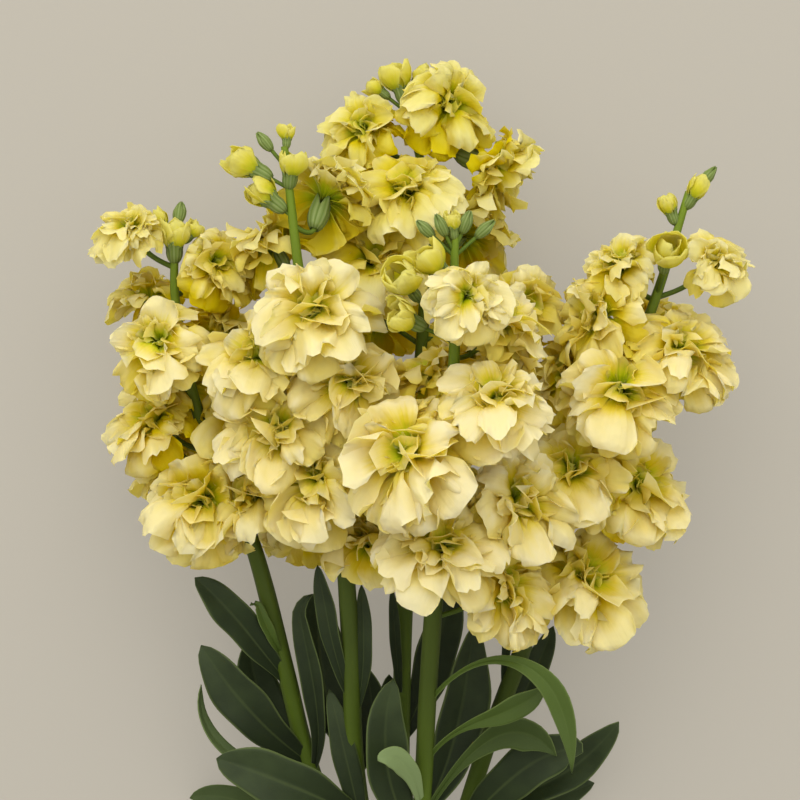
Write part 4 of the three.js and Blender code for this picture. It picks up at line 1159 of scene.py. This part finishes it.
# A pale margin along the leaf's edge, partly a painted highlight.
margin = faded(tree, distance, 0.9, 1.0, 0.35)
leaf = mixed(tree, margin, leaf, PALE_RIB_AND_EDGE_HIGHLIGHT)
midrib = faded(tree, distance, 0.1, 0.03, 0.14)
leaf = mixed(tree, times(tree, midrib, math_node(tree, "SUBTRACT", 1.1, along)), leaf, PALE_RIB_AND_EDGE_HIGHLIGHT)
stem_colour = mixed(tree, times(tree, patches, 0.5), STEM_GREEN, LEAF_GREEN)
stem_colour = mixed(tree, times(tree, attribute(tree, "under"), 0.92), stem_colour, STEM_SHADE)
stem_colour = mixed(tree, math_node(tree, "POWER", along, 3.0), stem_colour, STEM_FRESH)
sepal = mixed(tree, times(tree, patches, 0.5), SEPAL_GREEN, STEM_GREEN)
sepal = mixed(tree, times(tree, attribute(tree, "stripe"), 0.6), SEPAL_DARK, sepal)
is_stem = faded(tree, tone, 0.0, 1.0)
is_sepal = faded(tree, tone, 1.0, 2.0)
colour = mixed(tree, is_sepal, mixed(tree, is_stem, leaf, stem_colour), sepal)
colour = mixed(tree, cut, colour, CUT_PALE)
bump_height = plus(tree, times(tree, fine, 0.4), patches)
bump = put(tree, "ShaderNodeBump", {"Strength": 0.3, "Distance": 0.0005, "Height": bump_height})
skin = put(tree, "ShaderNodeBsdfPrincipled", {"Base Color": colour, "Roughness": 0.6,
           "Specular IOR Level": 0.25, "Normal": bump.outputs[0]})
through_colour = mixed(tree, 1.0, colour, THROUGH_GREEN, "MULTIPLY")
through = put(tree, "ShaderNodeBsdfTranslucent", {"Color": through_colour})
both = put(tree, "ShaderNodeMixShader", {0: GREEN_THROUGH, 1: skin.outputs[0], 2: through.outputs[0]})
tree.links.new(both.outputs[0], output.inputs["Surface"])
print("green material ready")

# %% Grow the greens and hand them over
CUT_SLANT = 0.6  # how far a cut end slants, as a share of the stem's width
STEM_SIDES = 20
SHADE_DOWN, SHADE_UP = 75, 60  # how far below and above the lowest bloom a stem is in the head's shade
SHADE_DOWN_OVER, SHADE_UP_OVER = 45, 20  # lengths over which that shade comes and goes

leaf_number = 0
bud_parts = []
balls = [bloom for bloom in blooms if bloom["reach"] < BALL_UNDER]
for number, ball in enumerate(balls):
    radius = BALL_SHARE * ball["reach"]
    furled = {"radius": radius, "facing": ball["facing"], "middle": ball["throat"] + radius * ball["facing"]}
    bud_parts += bud_petals(furled, 50 + number)
for head, stem in STEMS.items():
    line = stem["line"]
    radii = [stem_radius(point[1], stem["tip"][1]) for point in line]
    corners, faces, values = tube(line, radii, STEM_SIDES, rib=0.035)
    cap = len(line) * STEM_SIDES
    first = np.r_[0:STEM_SIDES, cap:cap + STEM_SIDES]
    corners[first, 1] += CUT_SLANT * (corners[first, 0] - line[0][0])
    height = corners[:, 1] - min(y for _, y, _, _ in stem["blooms"]) + 4
    under = np.clip((height + SHADE_DOWN) / SHADE_DOWN_OVER, 0, 1)
    under = under * np.clip((SHADE_UP - height) / SHADE_UP_OVER, 0, 1)
    parts = [(corners, faces, {**values, "tone": 1.0, "under": under})]
    for bloom in blooms:
        if bloom["head"] == head:
            parts += bloom_stalk(bloom)
    for number, bud in enumerate(buds):
        if bud["head"] == head:
            parts += bud_green(bud, number)
            if bud["radius"] >= SLIM:
                bud_parts += bud_petals(bud, number)
    piece = joined(f"stem_{head}", parts, green_material)
    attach(piece, "root")
    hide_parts(f"leafy_stem_{head}")
    blades = []
    for leaf in stem["leaves"]:
        blades.append(leaf_blade(stem, leaf, leaf_number))
        leaf_number += 1
    piece = joined(f"leaves_{head}", blades, green_material)
    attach(piece, "root")
    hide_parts(f"leafy_stem_{head}")
    print(head, "stalks", len(parts), "leaves", len(blades))

bud_piece = joined("bud_petals", bud_parts, petal_material)
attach(bud_piece, "root")
ball_nodes = [f"bloom_{head}_{i + 1:02d}" for head in STEMS for i, bloom in enumerate(STEMS[head]["blooms"])
              if bloom[3] < BALL_UNDER]
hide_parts(*[f"leafy_stem_{head}" for head in STEMS], *ball_nodes)

# %% [markdown]
# ## The tie
# Five turns of two-ply twine bind the stems. Each turn follows the stems' outline, which is an arc round
# each of the four outer stems and straight runs between the arcs. The two plies wind round each other along
# it, so the twine's section is a rounded bar that turns as it goes.

# %% Twine
TIE_SLACK = 0.6
TWINE_RADIUS = 0.82
TWINE_TURNS = 5
TWINE_PITCH = 1.6
TWINE_LAYS = 60  # windings of the plies in one turn
PLY_DEPTH = 0.14  # how deep the groove between the plies is, as a share of the twine's radius
TWINE_WANDER = 0.12  # how far each turn strays from its place
TWINE_STEPS = 360
TWINE_SIDES = 12
TWINE_LIGHT = srgb(208, 182, 134)
TWINE_DEEP = srgb(150, 118, 74)
TWINE_STAIN = srgb(122, 94, 58)

def bound_outline(radius, steps):
    """Points on the outline round the bound stems, at a distance from their middle lines, evenly spaced."""
    bound = [np.array(STEMS[name]["bound"], float) for name in ("left", "right", "front", "mid_left")]
    points = []
    for before, corner, after in zip([bound[-1], *bound], bound, [*bound[1:], bound[0]]):
        start = math.atan2(*(corner - before)[::-1]) - math.pi / 2
        end = math.atan2(*(after - corner)[::-1]) - math.pi / 2
        end += math.tau if end < start else 0
        arc = np.linspace(start, end, 24)
        points += [corner + radius * np.array((math.cos(angle), math.sin(angle))) for angle in arc]
    points = np.array([*points, points[0]])
    length = np.concatenate([[0], np.cumsum(np.linalg.norm(np.diff(points, axis=0), axis=1))])
    at = np.linspace(0, length[-1], steps, endpoint=False)
    return np.stack([np.interp(at, length, points[:, axis]) for axis in range(2)], axis=1)


twine_parts = []
outline = bound_outline(STEM_FOOT_RADIUS + TIE_SLACK + TWINE_RADIUS, TWINE_STEPS)
outward = outline - np.roll(outline, 1, axis=0)
outward = np.stack([outward[:, 1], -outward[:, 0]], axis=1)
outward /= np.linalg.norm(outward, axis=1, keepdims=True)
share = np.linspace(0, math.tau, TWINE_STEPS, endpoint=False)
for number in range(TWINE_TURNS):
    middle_y = (number - (TWINE_TURNS - 1) / 2) * TWINE_PITCH
    middle_y = middle_y + TWINE_WANDER * np.sin(share * 2 + number)
    turn = np.linspace(0, math.tau, TWINE_SIDES, endpoint=False)[None, :]
    plies = np.cos(2 * turn - TWINE_LAYS * share[:, None] + number)
    radius = TWINE_RADIUS * (1 - PLY_DEPTH + PLY_DEPTH * plies)
    away, sideways = radius * np.cos(turn), radius * np.sin(turn)
    x = outline[:, :1] + away * outward[:, :1]
    z = outline[:, 1:] + away * outward[:, 1:]
    y = middle_y[:, None] + sideways
    corners = np.stack([x, y, np.maximum(z, 0.0)], axis=-1).reshape(-1, 3)
    faces = []
    for step in range(TWINE_STEPS):
        for a in range(TWINE_SIDES):
            b, after = (a + 1) % TWINE_SIDES, (step + 1) % TWINE_STEPS
            faces.append((step * TWINE_SIDES + b, after * TWINE_SIDES + b, after * TWINE_SIDES + a,
                          step * TWINE_SIDES + a))
    along = np.repeat(share / math.tau, TWINE_SIDES)
    across = np.tile(turn.ravel() / math.pi - 1, TWINE_STEPS)
    twine_parts.append((corners, faces, {"along": along, "across": across, "ply": number}))

twine_material, tree, output = new_material("twine")
along, across = attribute(tree, "along"), attribute(tree, "across")
fibre_place = put(tree, "ShaderNodeCombineXYZ", {0: times(tree, along, 90.0),
                  1: times(tree, across, 7.0), 2: attribute(tree, "ply")})
fibres = noise(tree, 3.0, 4.0, fibre_place.outputs[0])
blotches = noise(tree, 120.0, 2.0)
twine_colour = mixed(tree, fibres, TWINE_DEEP, TWINE_LIGHT)
twine_colour = mixed(tree, times(tree, blotches, 0.4), twine_colour, TWINE_STAIN)
bump = put(tree, "ShaderNodeBump", {"Strength": 0.6, "Distance": 0.0003, "Height": fibres})
skin = put(tree, "ShaderNodeBsdfPrincipled", {"Base Color": twine_colour, "Roughness": 0.9,
           "Sheen Weight": 0.3, "Specular IOR Level": 0.2, "Normal": bump.outputs[0]})
tree.links.new(skin.outputs[0], output.inputs["Surface"])

tie_piece = joined("twine_tie", twine_parts, twine_material)
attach(tie_piece, "root")
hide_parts("tie")
print("tie: turns", TWINE_TURNS)
